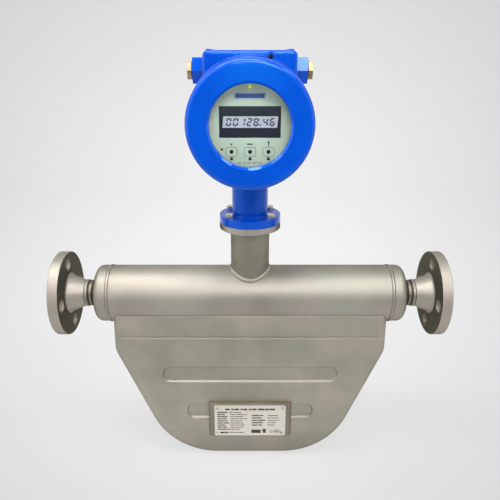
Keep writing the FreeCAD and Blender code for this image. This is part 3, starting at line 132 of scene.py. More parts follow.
class Nodes:
    """The node tree of a material or of the world, while it is being filled."""

    def __init__(self, owner):
        owner.use_nodes = True
        self.tree = owner.node_tree
        self.tree.nodes.clear()

    def add(self, kind, settings=None, sockets=None, output=0):
        """A new node: its settings first, then the values and links of its sockets."""
        node = self.tree.nodes.new(f"ShaderNode{kind}")
        for name, setting in (settings or {}).items():
            setattr(node, name, setting)
        for name, given in (sockets or {}).items():
            if isinstance(given, Wire):
                self.tree.links.new(given.socket, node.inputs[name])
            else:
                node.inputs[name].default_value = given
        return Wire(self, node.outputs[output]) if len(node.outputs) else None

    def maths(self, operation, *terms):
        return self.add("Math", {"operation": operation}, dict(enumerate(terms)))

    def place(self):
        """The point on the object, in its own metres."""
        return self.add("TexCoord", output="Object")

    def axes(self, vector):
        x = self.add("SeparateXYZ", sockets={0: vector})
        return x, x.other(1), x.other(2)

    def stretch(self, vector, factors):
        return self.add("Mapping", {"vector_type": "POINT"}, {"Vector": vector, "Scale": factors})

    def noise(self, vector, scale, detail=3.0, roughness=0.55):
        return self.add("TexNoise", sockets={
            "Vector": vector, "Scale": scale, "Detail": detail, "Roughness": roughness})

    def remap(self, source, low, high, to_low=0.0, to_high=1.0, smooth=False):
        kind = "SMOOTHSTEP" if smooth else "LINEAR"
        return self.add("MapRange", {"interpolation_type": kind, "clamp": True}, {
            "Value": source, "From Min": low, "From Max": high,
            "To Min": to_low, "To Max": to_high})

    def vary(self, noise, low=0.0, high=1.0):
        """The middle of a noise's range, spread between two values."""
        return self.remap(noise, 0.3, 0.7, low, high)

    def band(self, value, low, high, soft):
        """One between two bounds and nothing outside, with soft edges."""
        return (self.remap(value, low - soft, low + soft)
                * (1 - self.remap(value, high - soft, high + soft)))

    def grooves(self, distance, pitch):
        """A wave from -1 to 1 that comes back at every pitch."""
        return self.maths("SINE", distance * (2 * math.pi / pitch))

    def blend(self, factor, first, second):
        """A colour between two others."""
        return self.add("Mix", {"data_type": "RGBA"}, {0: factor, 6: first, 7: second}, output=2)

    def tinted(self, colour, tint):
        """A colour multiplied by another."""
        return self.add("Mix", {"data_type": "RGBA", "blend_type": "MULTIPLY"},
                        {0: 1.0, 6: colour, 7: tint}, output=2)

    def stains(self, colour, place):
        """The faint green and rosy clouds of blasted stainless steel."""
        cloud = self.remap(self.noise(place, CLOUD_SCALE), 0.36, 0.64, smooth=True)
        return self.tinted(colour, self.blend(cloud, GREEN_CLOUD, ROSY_CLOUD))

    def bump(self, height, distance, strength=1.0, normal=None):
        sockets = {"Height": height, "Distance": distance, "Strength": strength}
        if normal:
            sockets["Normal"] = normal
        return self.add("Bump", sockets=sockets, output="Normal")

    def rounded(self, radius):
        """A normal that softens hard edges, as a machined or painted edge is."""
        return self.add("Bevel", {"samples": 4}, {"Radius": radius}, output="Normal")

    def surface(self, colour, roughness, normal=None, **more):
        sockets = {"Base Color": colour, "Roughness": roughness}
        if normal:
            sockets["Normal"] = normal
        sockets.update({name.replace("_", " "): given for name, given in more.items()})
        return self.add("BsdfPrincipled", sockets=sockets)

    def finish(self, shader):
        self.add("OutputMaterial", sockets={"Surface": shader})


def new_finish(name):
    material = bpy.data.materials.new(name)
    return material, Nodes(material)


# Finishes. A noise's scale is in waves to the metre, and depths and radii are in metres

EDGE_TINT = (0.3, 0.3, 0.29, 1.0)
PAINT_TINT = (0.02, 0.50, 1.0, 1.0)
# Painted shade on the case: the colour its up-facing ledges and its foot darken towards, and the
# heights over which the foot darkens
PAINTED_SHADE = shade(112, 108, 97)
SHADED_CASE_FOOT = (-0.226, -0.185)

# On the necks and flanges, as distances from the nearer flange face
# Painted shade, brown like weld heat tint: a ring just beside the pipe weld bead and a ring up to
# the cap face
OUTER_SHADE_RING = (0.0386, 0.0412)
INNER_SHADE_RING = (0.0440, 0.0520)
FLANGE_BACK = 0.012
GASKET_STEP = 0.0008

HUB_RADIUS = 0.0262
TURNING_PITCH = 0.0005
SERRATION_PITCH = 0.0008
WIRE_PITCH = 0.0004
SCREEN_DOT = 0.0005


def blasted_steel(name, light, dark, roughness=0.54, patch=14.0, grain=1400.0, along=None,
                  edge=0.0006, shaded_ledges_and_foot=False):
    """Stainless steel with a satin, slightly blotchy blasted surface.

    Along scales a drawn grain on its three axes. The case's piece gets painted shade: its up-facing
    ledges and its foot are darker.
    """
    material, nodes = new_finish(name)
    place = nodes.place()
    blotch = nodes.noise(place, patch, 4.0, 0.6)
    fine = nodes.noise(place, grain, 2.0)
    speck = nodes.noise(place, 260.0)
    tone = nodes.remap(blotch, 0.34, 0.66) * 0.75 + speck * 0.25
    colour = nodes.stains(nodes.blend(tone, dark, light), place)
    if shaded_ledges_and_foot:
        # Painted shade: up-facing ledges and the foot below the given heights are darkened
        ledge_shade = nodes.remap(nodes.axes(nodes.rounded(edge))[2], 0.12, 0.75) * 0.3
        foot = (1 - nodes.remap(nodes.axes(place)[2], *SHADED_CASE_FOOT, smooth=True)) * 0.42
        colour = nodes.blend(nodes.maths("MAXIMUM", ledge_shade, foot), colour, PAINTED_SHADE)
    height = fine * 0.7 + speck * 0.3
    if along:
        height = height + nodes.noise(nodes.stretch(place, along), 1.0) * 0.5
    gloss = nodes.vary(blotch, roughness - 0.05, roughness + 0.05) + speck * 0.04 - 0.02
    normal = nodes.bump(height, 0.05 * MM, 0.6, nodes.rounded(edge))
    nodes.finish(nodes.surface(colour, gloss, normal, Metallic=1.0, Specular_Tint=EDGE_TINT))
    return material


def neck_steel():
    """The short necks beside the end caps, with two brown rings of painted shade, coloured like
    weld heat tint: one beside the pipe weld bead, one up to the cap face.
    """
    material, nodes = new_finish("neck_steel")
    place = nodes.place()
    wander = nodes.noise(place, 180.0) * 0.0008 - 0.0004
    from_end = MIDDLE - abs(nodes.axes(place)[0] - MIDDLE) + wander
    # The two rings of painted shade
    outer = nodes.band(from_end, *OUTER_SHADE_RING, soft=0.0005)
    inner = nodes.band(from_end, *INNER_SHADE_RING, soft=0.0006)
    shade_rings = nodes.maths("MINIMUM", outer * 0.85 + inner, 1.0)
    steel = nodes.blend(nodes.noise(place, 40.0, 4.0), shade(142, 134, 120), shade(172, 164, 150))
    # The brown of the painted shade rings
    scale = nodes.blend(nodes.noise(place, 120.0, 4.0), shade(50, 40, 31), shade(84, 70, 56))
    normal = nodes.bump(nodes.noise(place, 900.0, 2.0), 0.05 * MM, 0.6, nodes.rounded(0.0005))
    nodes.finish(nodes.surface(nodes.blend(shade_rings, steel, scale), 0.5 + shade_rings * 0.12, normal,
                               Metallic=1.0, Specular_Tint=EDGE_TINT))
    return material


def flange_steel():
    """Forged flange: turned rim, faces and hub, a serrated gasket face, and a darker, rougher back
    that is partly dull forged skin and partly painted shade on faces that look in at the housing.
    """
    material, nodes = new_finish("flange_steel")
    place = nodes.place()
    x, y, z = nodes.axes(place)
    radius = nodes.add("VectorMath", {"operation": "LENGTH"},
                       {0: nodes.add("CombineXYZ", sockets={1: y, 2: z})}, output="Value")
    from_end = MIDDLE - abs(x - MIDDLE)
    facing = nodes.axes(nodes.add("NewGeometry", output="Normal"))[0]
    upright = nodes.remap(abs(facing), 0.75, 0.95)
    back = upright * (from_end > FLANGE_BACK) * (radius > HUB_RADIUS)
    gasket_face = upright * (from_end < GASKET_STEP)
    blotch = nodes.noise(place, 22.0, 4.0, 0.6)
    fine = nodes.noise(place, 1500.0, 2.0)
    bright = nodes.stains(nodes.blend(blotch, shade(184, 178, 166), shade(204, 197, 186)), place)
    # The back's colour: dull forged skin, darkened further as painted shade
    dull_and_shaded = nodes.blend(nodes.noise(place, 55.0, 5.0, 0.7), shade(100, 98, 86),
                       shade(128, 125, 112))
    turned = upright * (1 - gasket_face) * nodes.grooves(radius, TURNING_PITCH)
    serrated = gasket_face * nodes.grooves(radius, SERRATION_PITCH)
    height = fine * 0.5 + turned * 0.10 + serrated * 0.8
    normal = nodes.bump(height, 0.06 * MM, 0.7, nodes.rounded(0.0006))
    gloss = nodes.vary(blotch, 0.52, 0.60) + back * 0.05
    nodes.finish(nodes.surface(nodes.blend(back, bright, dull_and_shaded), gloss, normal, Metallic=1.0,
                               Specular_Tint=EDGE_TINT))
    return material


def blue_paint():
    """Glossy powder coat: even blue with a faint orange peel."""
    material, nodes = new_finish("blue_powder_coat")
    place = nodes.place()
    peel = nodes.noise(place, 420.0, 2.0)
    drift = nodes.noise(place, 18.0)
    colour = nodes.blend(nodes.vary(drift), shade(0, 74, 196), shade(0, 82, 209))
    normal = nodes.bump(peel, 0.05 * MM, 0.5, nodes.rounded(0.0009))
    nodes.finish(nodes.surface(colour, nodes.vary(drift, 0.13, 0.18), normal,
                               Specular_IOR_Level=0.5, Specular_Tint=PAINT_TINT,
                               Coat_Weight=0.45, Coat_Roughness=0.04))
    return material


def window_glass():
    """Flat toughened glass: clear straight on, glossy at a slant from the outside."""
    material, nodes = new_finish("window_glass")
    smudge = nodes.noise(nodes.place(), 60.0, 4.0)
    gleam = nodes.add("Fresnel", sockets={"IOR": 1.45})
    inner_side = nodes.add("NewGeometry", output="Backfacing")
    clear = nodes.add("BsdfTransparent", sockets={"Color": (0.985, 1.0, 0.985, 1.0)})
    mirror = nodes.surface(shade(235, 245, 240), nodes.vary(smudge, 0.03, 0.07), Metallic=1.0)
    nodes.finish(nodes.add("MixShader", sockets={
        0: gleam * (1 - inner_side), 1: clear, 2: mirror}))
    return material


def moulded(name, light, dark, roughness=0.5, scale=40.0, peel=0.03, **more):
    """Plain plastic, rubber or ink with a slight drift of tone and a fine skin."""
    material, nodes = new_finish(name)
    place = nodes.place()
    drift = nodes.noise(place, scale, 4.0)
    normal = nodes.bump(nodes.noise(place, 1200.0, 2.0), peel * MM, 0.5)
    gloss = nodes.vary(drift, roughness - 0.04, roughness + 0.04)
    nodes.finish(nodes.surface(nodes.blend(nodes.vary(drift), dark, light), gloss, normal,
                               **more))
    return material


def printed(name, light, dark, roughness=0.5, scale=300.0):
    """A printing ink."""
    return moulded(name, light, dark, roughness, scale, peel=0.01)


def bright_metal(name, light, dark, roughness=0.28):
    """Plated or bright metal with light handling marks."""
    material, nodes = new_finish(name)
    place = nodes.place()
    smudge = nodes.noise(place, 160.0, 4.0, 0.6)
    colour = nodes.blend(nodes.remap(smudge, 0.35, 0.65), dark, light)
    normal = nodes.bump(nodes.noise(place, 1800.0, 2.0), 0.03 * MM, 0.5, nodes.rounded(0.0004))
    gloss = nodes.vary(smudge, roughness - 0.06, roughness + 0.08)
    nodes.finish(nodes.surface(colour, gloss, normal, Metallic=1.0))
    return material


def winding():
    """Varnished copper wire, wound in fine turns."""
    material, nodes = new_finish("varnished_winding")
    place = nodes.place()
    wires = nodes.grooves(nodes.axes(place)[1], WIRE_PITCH)
    colour = nodes.blend(nodes.noise(place, 90.0), shade(150, 78, 30), shade(190, 110, 52))
    nodes.finish(nodes.surface(colour, 0.32, nodes.bump(wires, 0.05 * MM, 0.6), Metallic=0.6))
    return material


def circuit_board(name, face):
    """Green board with fine tracks; what stands in front of its face is black moulding."""
    material, nodes = new_finish(name)
    place = nodes.place()
    x, y, z = nodes.axes(place)
    tracks = nodes.add("TexBrick", {"offset": 0.5}, {
        "Vector": nodes.add("CombineXYZ", sockets={0: x, 1: z}), "Scale": 160.0,
        "Color1": shade(16, 92, 48), "Color2": shade(12, 80, 42), "Mortar": shade(40, 130, 70),
        "Mortar Size": 0.03, "Brick Width": 0.9, "Row Height": 0.35})
    chip = y < face - 0.0002
    black = nodes.blend(nodes.noise(place, 300.0), shade(20, 20, 22), shade(34, 34, 36))
    nodes.finish(nodes.surface(nodes.blend(chip, tracks, black), 0.45 - chip * 0.08,
                               nodes.bump(nodes.noise(place, 900.0), 0.02 * MM)))
    return material


def dial_card():
    """Pale green printed card."""
    material, nodes = new_finish("dial_card")
    place = nodes.place()
    drift = nodes.noise(place, 30.0)
    colour = nodes.blend(nodes.vary(drift), shade(204, 220, 200), shade(214, 228, 210))
    nodes.finish(nodes.surface(colour, 0.45 + drift * 0.06,
                               nodes.bump(nodes.noise(place, 1500.0), 0.02 * MM, 0.4)))
    return material


def display_glass():
    """Unlit liquid crystal: near black, with the faint grid of its dots."""
    material, nodes = new_finish("display_glass")
    place = nodes.place()
    x, _, z = nodes.axes(place)
    across, up = (abs(nodes.grooves(way, 2 * SCREEN_DOT)) for way in (x, z))
    dots = nodes.remap(nodes.maths("MINIMUM", across, up), 0.1, 0.35)
    colour = nodes.blend(dots, shade(20, 25, 40), shade(36, 43, 60))
    nodes.finish(nodes.surface(colour, nodes.vary(nodes.noise(place, 60.0), 0.16, 0.24)))
    return material


def plate_metal():
    """Bright nameplate sheet with a fine brushed grain along X."""
    material, nodes = new_finish("plate_sheet")
    place = nodes.place()
    lines = nodes.noise(nodes.stretch(place, (40.0, 2500.0, 2500.0)), 1.0)
    drift = nodes.noise(place, 35.0)
    colour = nodes.blend(lines * 0.5 + drift * 0.5, shade(216, 209, 196), shade(238, 233, 222))
    nodes.finish(nodes.surface(colour, nodes.vary(lines, 0.34, 0.46),
                               nodes.bump(lines, 0.02 * MM, 0.4), Metallic=0.55))
    return material


# By the record's material slots
FINISHES = {
    "forged_steel": flange_steel(),
    "weld_bead": blasted_steel("weld_steel", shade(196, 192, 181), shade(166, 163, 152), 0.54,
                               60.0, 900.0, edge=0.0016),
    "pipe_steel": blasted_steel("pipe_steel", shade(196, 192, 181), shade(166, 163, 152), 0.57,
                                9.0),
    # The case sheet carries painted shade on its up-facing ledges and its foot
    "case_steel": blasted_steel("case_sheet", shade(202, 198, 185), shade(172, 169, 156), 0.56,
                                13.0, along=(30.0, 600.0, 1200.0), edge=0.0018, shaded_ledges_and_foot=True),
    "inner_steel": blasted_steel("inner_steel", shade(190, 188, 184), shade(166, 164, 160), 0.35),
    "magnet": bright_metal("nickel_magnet", shade(200, 200, 202), shade(170, 170, 174), 0.22),
    "coil": winding(),
    "blue_paint": blue_paint(),
    "window_glass": window_glass(),
    "seal_rubber": moulded("black_rubber", shade(38, 38, 38), shade(24, 24, 24), 0.6, 120.0),
    "retainer": moulded("black_ring", shade(44, 44, 46), shade(30, 30, 32), 0.4),
    "dial": dial_card(),
    "screen": display_glass(),
    "key_lens": moulded("dark_lens", shade(20, 22, 20), shade(10, 12, 10), 0.2, 200.0, 0.005),
    "lamp": moulded("lamp_lens", shade(214, 226, 70), shade(190, 206, 40), 0.2, 400.0, 0.005,
                    Emission_Color=shade(200, 220, 50), Emission_Strength=0.35),
    "circuit_board": circuit_board("display_board_mask", -0.0700),
    "post": bright_metal("brass_post", shade(202, 170, 96), shade(176, 142, 74), 0.3),
    "terminal": moulded("terminal_green", shade(44, 132, 70), shade(34, 112, 58), 0.42),
    "bright_screw": bright_metal("bright_screw", shade(226, 222, 212), shade(188, 184, 174), 0.24),
    "plug_metal": bright_metal("nickel_brass", shade(190, 172, 138), shade(140, 120, 88), 0.34),
    "bracket_steel": blasted_steel("bracket_sheet", shade(164, 157, 144), shade(142, 136, 123),
                                   0.50, 30.0, along=(40.0, 1500.0, 1500.0)),
    "plate": plate_metal(),
    "cable_jacket": moulded("cable_jacket", shade(46, 46, 48), shade(30, 30, 32), 0.55, 200.0),
}


def dress_frame():
    """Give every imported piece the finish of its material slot, or its own."""
    neck = neck_steel()
    own_finishes = {
        "main_board": circuit_board("main_board_mask", -0.036),
        "power_board": circuit_board("power_board_mask", -0.014),
        "inlet_splitter": neck, "outlet_splitter": neck, "neck_seams": neck,
        # The neck pipe: a darker, greener copy of the pipe steel, painted shade under the head
        "neck_pipe": blasted_steel("neck_pipe_shaded_steel", shade(178, 177, 161), shade(152, 152, 137),
                                   0.58, 22.0),
        # A blackened screw, darkened further as painted shade of the recess it sits in
        "cover_lock_screw": bright_metal("recess_shade_screw", shade(52, 56, 70), shade(26, 30, 44), 0.4),
    }
    for row in frame["record"]["subparts"]:
        materials = frame["nodes"][row["node"]].data.materials
        materials.clear()
        materials.append(own_finishes.get(row["node"], FINISHES[row["material_slot"]]))


# Meshes. Rings of points are in millimetres

CORNERS = ((-1, -1), (1, -1), (1, 1), (-1, 1))
CORNER_STEPS = 5
DISC_STEPS = 24
PRINT_DEPTH = 0.05


def add_piece(name, points, faces, finish, smooth=False):
    """A mesh object that rides on the meter's body."""
    mesh = bpy.data.meshes.new(name)
    mesh.from_pydata(points, [], faces)
    mesh.validate()
    mesh.polygons.foreach_set("use_smooth", [smooth] * len(mesh.polygons))
    mesh.materials.append(finish)
    piece = bpy.data.objects.new(name, mesh)
    bpy.context.scene.collection.objects.link(piece)
    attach(piece, "meter_body")
    return piece


def with_next(count):
    """Each index of a closed ring, with the one after it."""
    return [(index, (index + 1) % count) for index in range(count)]


def turns(count):
    """Angles that go evenly round once."""
    return [2 * math.pi * step / count for step in range(count)]


def arc(x, z, radius, start, sweep, steps):
    """Points of an arc, with both its ends."""
    angles = [start + sweep * step / steps for step in range(steps + 1)]
    return [(x + radius * math.cos(angle), z + radius * math.sin(angle)) for angle in angles]


def leaning(ring, foot, lean):
    """The ring, pushed sideways the more the higher it is above its foot."""
    return [(x + (z - foot) * lean, z) for x, z in ring]


def box_ring(x, z, width, height, corner=0.0, lean=0.0):
    """Points round a rectangle in the XZ plane, going anticlockwise."""
    ring = []
    for quarter, (side, end) in enumerate(CORNERS):
        centre = x + side * (width / 2 - corner), z + end * (height / 2 - corner)
        if corner:
            ring += arc(*centre, corner, math.pi + quarter * QUARTER, QUARTER, CORNER_STEPS)
        else:
            ring.append(centre)
    return leaning(ring, z, lean)


def disc_ring(x, z, radius):
    return [(x + radius * math.cos(turn), z + radius * math.sin(turn))
            for turn in turns(DISC_STEPS)]


def arrow_ring(x, base, tip, half_width=1.5):
    """A triangle that points up or down, anticlockwise either way."""
    side = math.copysign(half_width, tip - base)
    return [(x - side, base), (x + side, base), (x, tip)]


class Print:
    """Thin raised marks on an upright face that looks towards -Y."""

    def __init__(self, name, finish, ground, thickness=0.12):
        self.name = name
        self.finish = finish
        self.middle_height, face = ground
        self.layers = (face - thickness * MM, face + PRINT_DEPTH * MM)
        self.points = []
        self.faces = []

    def put(self, ring, depth):
        """The ring's points at the front (0) or the back (1) of the mark."""
        start = len(self.points)
        self.points += [(MIDDLE + x * MM, self.layers[depth], self.middle_height + z * MM)
                        for x, z in ring]
        return list(range(start, len(self.points)))

    def sides(self, front, back, outward=True):
        for here, after in with_next(len(front)):
            side = [front[here], back[here], back[after], front[after]]
            self.faces.append(side if outward else side[::-1])

    def fill(self, ring):
        """A solid mark with the given outline."""
        front, back = self.put(ring, 0), self.put(ring, 1)
        self.faces += [front, back[::-1]]
        self.sides(front, back)

    def outline(self, outer, inner):
        """A mark between two rings with the same number of points."""
        front, front_hole = self.put(outer, 0), self.put(inner, 0)
        back, back_hole = self.put(outer, 1), self.put(inner, 1)
        for here, after in with_next(len(outer)):
            self.faces.append([front[here], front[after], front_hole[after], front_hole[here]])
            self.faces.append([back[here], back_hole[here], back_hole[after], back[after]])
        self.sides(front, back)
        self.sides(front_hole, back_hole, outward=False)

    def piece(self):
        add_piece(self.name, self.points, self.faces, self.finish)


# Dial

SEGMENTS = {"0": "abcdef", "1": "bc", "2": "abged", "3": "abgcd", "4": "fgbc", "5": "afgcd",
            "6": "afgedc", "7": "abc", "8": "abcdefg", "9": "abcdfg"}
POINT_PITCH = 0.36
LEAN = 0.12
BAR_UP = 28.3
KEY_UP = -28.7
KEY_PITCH = 19.5


def pointed_bar(tail, tip, centre, stroke):
    """A bar with pointed ends, as places along it and across it, going anticlockwise."""
    half, point = stroke / 2, stroke * 0.4
    return [(tail, centre), (tail + point, centre - half), (tip - point, centre - half),
            (tip, centre), (tip - point, centre + half), (tail + point, centre + half)]


def segment_rings(x, z, width, height, stroke):
    """The seven bars of one digit, by letter."""
    rings = {}
    for letter, place in (("a", height), ("g", height / 2), ("d", 0)):
        level = z + min(max(place, stroke / 2), height - stroke / 2)
        rings[letter] = pointed_bar(x + stroke * 0.6, x + width - stroke * 0.6, level, stroke)
    left, right = x + stroke / 2, x + width - stroke / 2
    for letter, middle, foot in (("f", left, height / 2), ("b", right, height / 2),
                                 ("e", left, 0), ("c", right, 0)):
        tail = z + foot + stroke * 0.3
        upright = pointed_bar(tail, tail + height / 2 - stroke * 0.6, -middle, stroke)
        rings[letter] = [(-across, along) for along, across in upright]
    return rings


def print_reading(marks, reading, x, z, width, height, stroke, pitch):
    """Leaning seven-bar digits of a plain reading, from their lower left corner."""
    for sign in reading:
        if sign == ".":
            point = box_ring(x + stroke * 0.1, z + stroke * 0.6, stroke * 1.1, stroke * 1.1)
            marks.fill(leaning(point, z, LEAN))
            x += pitch * POINT_PITCH
            continue
        rings = segment_rings(x, z, width, height, stroke)
        for letter in SEGMENTS[sign]:
            marks.fill(leaning(rings[letter], z, LEAN))
        x += pitch


def make_dial_bar():
    """The blue bar above the screen, with a pale line inside its edge."""
    blue_ink = printed("dial_blue_ink", shade(40, 88, 160), shade(30, 76, 148), 0.45, 200.0)
    pale_ink = printed("dial_pale_ink", shade(206, 220, 232), shade(194, 211, 227))
    bar = Print("dial_bar", blue_ink, DIAL, 0.15)
    bar.fill(box_ring(0, BAR_UP, 32.5, 7, 1.0, LEAN))
    bar.piece()
    line = Print("dial_bar_line", pale_ink, DIAL, 0.22)
    line.outline(box_ring(0, BAR_UP, 32.1, 6.6, 0.9, LEAN),
                 box_ring(0, BAR_UP, 30.1, 4.6, 0.4, LEAN))
    line.piece()


def make_key_marks():
    """A frame, a dot and a sign for each of the three keys, and small bars below them."""
    ink = printed("dial_ink", shade(40, 46, 42), shade(26, 30, 28))
    grey_ink = printed("dial_grey_ink", shade(140, 150, 134), shade(124, 136, 120))
    frames = Print("key_outlines", grey_ink, DIAL)
    signs = Print("dial_dots", ink, DIAL, 0.15)
    for x in (-KEY_PITCH, 0, KEY_PITCH):
        frames.outline(box_ring(x, KEY_UP, 12.6, 10.4, 2.6), box_ring(x, KEY_UP, 11.4, 9.2, 2.0))
        signs.fill(disc_ring(x, KEY_UP - 7.4, 1.75))
    signs.fill(disc_ring(-29.6, -26.1, 1.3))
    signs.fill(arrow_ring(-KEY_PITCH, -19.9, -22.3))
    signs.fill(box_ring(0, -20.6, 6.4, 1.3))
    signs.fill(box_ring(KEY_PITCH, -21.1, 0.9, 3.4))
    signs.fill(arrow_ring(KEY_PITCH, -19.3, -16.9))
    for x, width in ((-11.5, 4.2), (-6.2, 3.0), (-1.6, 3.6), (4.6, 5.0), (10.6, 4.4)):
        frames.fill(box_ring(x, -40.3, width, 1.0))
    frames.piece()
    signs.piece()


def make_reading():
    """The lit field of the screen, with its digits."""
    lit = moulded("screen_lit", shade(206, 206, 222), shade(190, 190, 210), 0.4, 300.0, 0.005,
                  Emission_Color=shade(190, 190, 212), Emission_Strength=0.12)
    unlit = moulded("screen_digits", shade(48, 46, 74), shade(38, 36, 62), 0.3, 300.0, 0.005)
    field = Print("screen_field", lit, SCREEN, 0.08)
    field.fill(box_ring(0.3, 2.0, 57, 11.6, 0.8, 0.10))
    field.piece()
    digits = Print("screen_reading", unlit, SCREEN, 0.14)
    print_reading(digits, "00128.46", x=-25.2, z=-2.1, width=5.4, height=8.2, stroke=1.5,
                  pitch=7.1)
    digits.piece()


# Nameplate: each tuple of widths is a few bars in a row

BAR_GAP = 0.9
PLATE_MARGIN = -43.9
TITLE_BARS = ((-33.3, (6.2,)), (-25.0, (3.0, 6.4)), (-12.6, (2.6, 5.4)), (-1.6, (3.4, 6.2)),
              (10.6, (9.0, 5.0, 7.0)))
LEFT_ROWS = (((5.0, 4.0), (7.0, 10.5, 3.0)), ((13.2,), (4.5, 12.0)),
             ((6.0, 5.4), (11.0, 5.0, 5.0)), ((9.6, 3.2), (6.0, 9.0)),
             ((7.2, 8.0), (13.0, 3.4)), ((10.4,), (5.0, 5.0, 7.4)),
             ((6.4, 5.6), (9.0, 8.0)), ((12.8, 3.0), (6.5, 5.0)))
RIGHT_ROWS = (((10.5, 4.0), (13.5,)), ((13.0,), (5.0, 9.0)), ((6.4, 11.0), (12.0, 3.0)),
              ((15.0,), (4.0, 6.5)), ((8.0, 5.0), (9.0,)))


def put_bars(marks, start, up, widths, height):
    """Short bars in a row, from a start on the left."""
    for width in widths:
        marks.fill(box_ring(start + width / 2, up, width, height))
        start += width + BAR_GAP


def put_rows(marks, values, rows, up, pitch, label_start, label_height, value_start):
    """Rows that each have a label in bold bars and a value in thin ones."""
    for label, value in rows:
        put_bars(marks, label_start, up, label, label_height)
        put_bars(values, value_start, up, value, 1.2)
        up -= pitch


def make_plate_marks():
    """Rows of plain bars on the nameplate, and a few plain shapes below them."""
    ink = printed("plate_ink", shade(70, 61, 50), shade(44, 38, 31), 0.55, 500.0)
    thin_ink = printed("plate_thin_ink", shade(112, 104, 90), shade(88, 80, 68), 0.55, 500.0)
    marks = Print("plate_marks", ink, PLATE, 0.06)
    values = Print("plate_values", thin_ink, PLATE, 0.06)
    for start, widths in TITLE_BARS:
        put_bars(marks, start, 18.4, widths, 2.5)
    put_bars(marks, PLATE_MARGIN, 13.6, (13.5,), 1.7)
    put_bars(values, -28.6, 13.4, (6.0, 9.5), 1.1)
    put_rows(marks, values, LEFT_ROWS, up=10.2, pitch=3.45, label_start=PLATE_MARGIN,
             label_height=1.6, value_start=-26.4)
    put_rows(marks, values, RIGHT_ROWS, up=8.6, pitch=3.9, label_start=2.4,
             label_height=1.7, value_start=23.8)
    marks.fill(box_ring(8.2, -17.4, 12.6, 5.4))
    marks.fill(disc_ring(19.2, -15.6, 2.5))
    marks.fill(box_ring(19.6, -18.8, 4.4, 2.0))
    marks.outline(disc_ring(28.6, -17.4, 2.2), disc_ring(28.6, -17.4, 1.5))
    marks.outline(box_ring(37.0, -17.6, 8.6, 5.4), box_ring(37.0, -17.6, 7.4, 4.2))
    put_bars(marks, 34.2, -17.6, (2.6, 2.0), 1.6)
    put_bars(marks, -40.4, -19.4, (6.4, 3.4), 2.4)
    put_bars(values, -28.0, -19.2, (7.0, 12.0), 1.2)
    marks.piece()
    values.piece()


def make_bracket_lip():
    """The bracket's sheet turned back at the top, which closes its gap to the case."""
    half_width, front, back = 53.75, -38.45, -34.25
    low, high, corner, steps = -147.1, -145.6, 2.5, 6
    reach = half_width - corner
    outline = [(-half_width, back),
               *arc(-reach, front + corner, corner, math.pi, QUARTER, steps),
               *arc(reach, front + corner, corner, math.pi + QUARTER, QUARTER, steps),
               (half_width, back)]
    count = len(outline)
    points = [(MIDDLE + x * MM, y * MM, z * MM) for z in (low, high) for x, y in outline]
    faces = [list(range(count))[::-1], list(range(count, 2 * count))]
    faces += [[here, after, count + after, count + here] for here, after in with_next(count)]
    lip = add_piece("bracket_lip", points, faces, FINISHES["bracket_steel"])


# Welds, in metres

BEAD_STEPS = 8
RIPPLE_ARCH = 0.32


def ripple_height(across, along, pitch, crown):
    """How high a weld bead stands: a low crown with arched ripples along it."""
    bow = max(0.0, 1 - across * across)
    phase = (along / pitch + RIPPLE_ARCH * bow) % 1.0
    groove = 1 - math.sin(math.pi * phase) ** 0.6
    return crown * bow ** 0.55 - 0.5 * crown * bow ** 0.4 * groove


def make_weld(name, node, path, width, crown, pitch):
    """A rippled bead round a closed path of (point, outward, sideways) stations."""
    points, faces = [], []
    travelled = 0.0
    before = path[0][0]
    for point, outward, sideways in path:
        travelled += (point - before).length
        before = point
        for step in range(BEAD_STEPS + 1):
            across = 2 * step / BEAD_STEPS - 1
            lift = ripple_height(across, travelled, pitch, crown)
            points.append(point + sideways * (across * width / 2) + outward * lift)
        root = point - outward * (crown * 0.8)
        points += [root + sideways * (width * 0.3), root - sideways * (width * 0.3)]
    size = BEAD_STEPS + 3
    for here, after in with_next(len(path)):
        for left, right in with_next(size):
            faces.append([here * size + left, after * size + left, after * size + right,
                          here * size + right])
    bead = add_piece(name, points, faces, FINISHES["weld_bead"], smooth=True)
    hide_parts(node)


def ring_path(x, radius, stations):
    """Round the pipe axis at one place."""
    path = []
    for turn in turns(stations):
        outward = Vector((0, math.sin(turn), math.cos(turn)))
        path.append((Vector((x, 0, 0)) + outward * radius, outward, Vector((1, 0, 0))))
    return path


def saddle_path(neck_radius, housing_radius, stations):
    """Where the upright neck meets the housing, leaning out between the two."""
    path = []
    for turn in turns(stations):
        from_neck = Vector((math.cos(turn), math.sin(turn), 0))
        x, y, _ = from_neck * neck_radius
        z = math.sqrt(housing_radius ** 2 - y * y)
        from_housing = Vector((0, y, z)).normalized()
        path.append((Vector((MIDDLE + x, y, z)), (from_neck + from_housing).normalized(),
                     (from_neck - from_housing).normalized()))
    return path


def make_welds():
    """The beads behind both flanges, and the one where the neck stands on the housing."""
    for name, x in (("inlet", 0.0365), ("outlet", 0.4585)):
        make_weld(f"{name}_pipe_bead", f"{name}_pipe_weld",
                  ring_path(x, radius=0.0167, stations=300),
                  width=0.0046, crown=0.0009, pitch=0.0021)
    make_weld("neck_bead", "neck_weld",
              saddle_path(neck_radius=0.0250, housing_radius=0.0373, stations=560),
              width=0.0062, crown=0.0016, pitch=0.0024)


# Camera and light. Lengths of the lens are in millimetres, and the camera's pitch is in degrees

CAMERA_PLACE = (MIDDLE, -0.6303, 0.2967)
CAMERA_PITCH = 69.37
SENSOR_WIDTH = 36.0
FOCAL_LENGTH = 38.22

METER_CENTRE = (MIDDLE, 0.0, 0.06)
HEAD_CENTRE = (MIDDLE, -0.07, DIAL_HEIGHT)

STUDIO_WALLS = (0.36, 0.36, 0.37, 1.0)
STUDIO_CEILING = (0.24, 0.24, 0.25, 1.0)
STUDIO_FRONT = (0.15, 0.15, 0.155, 1.0)

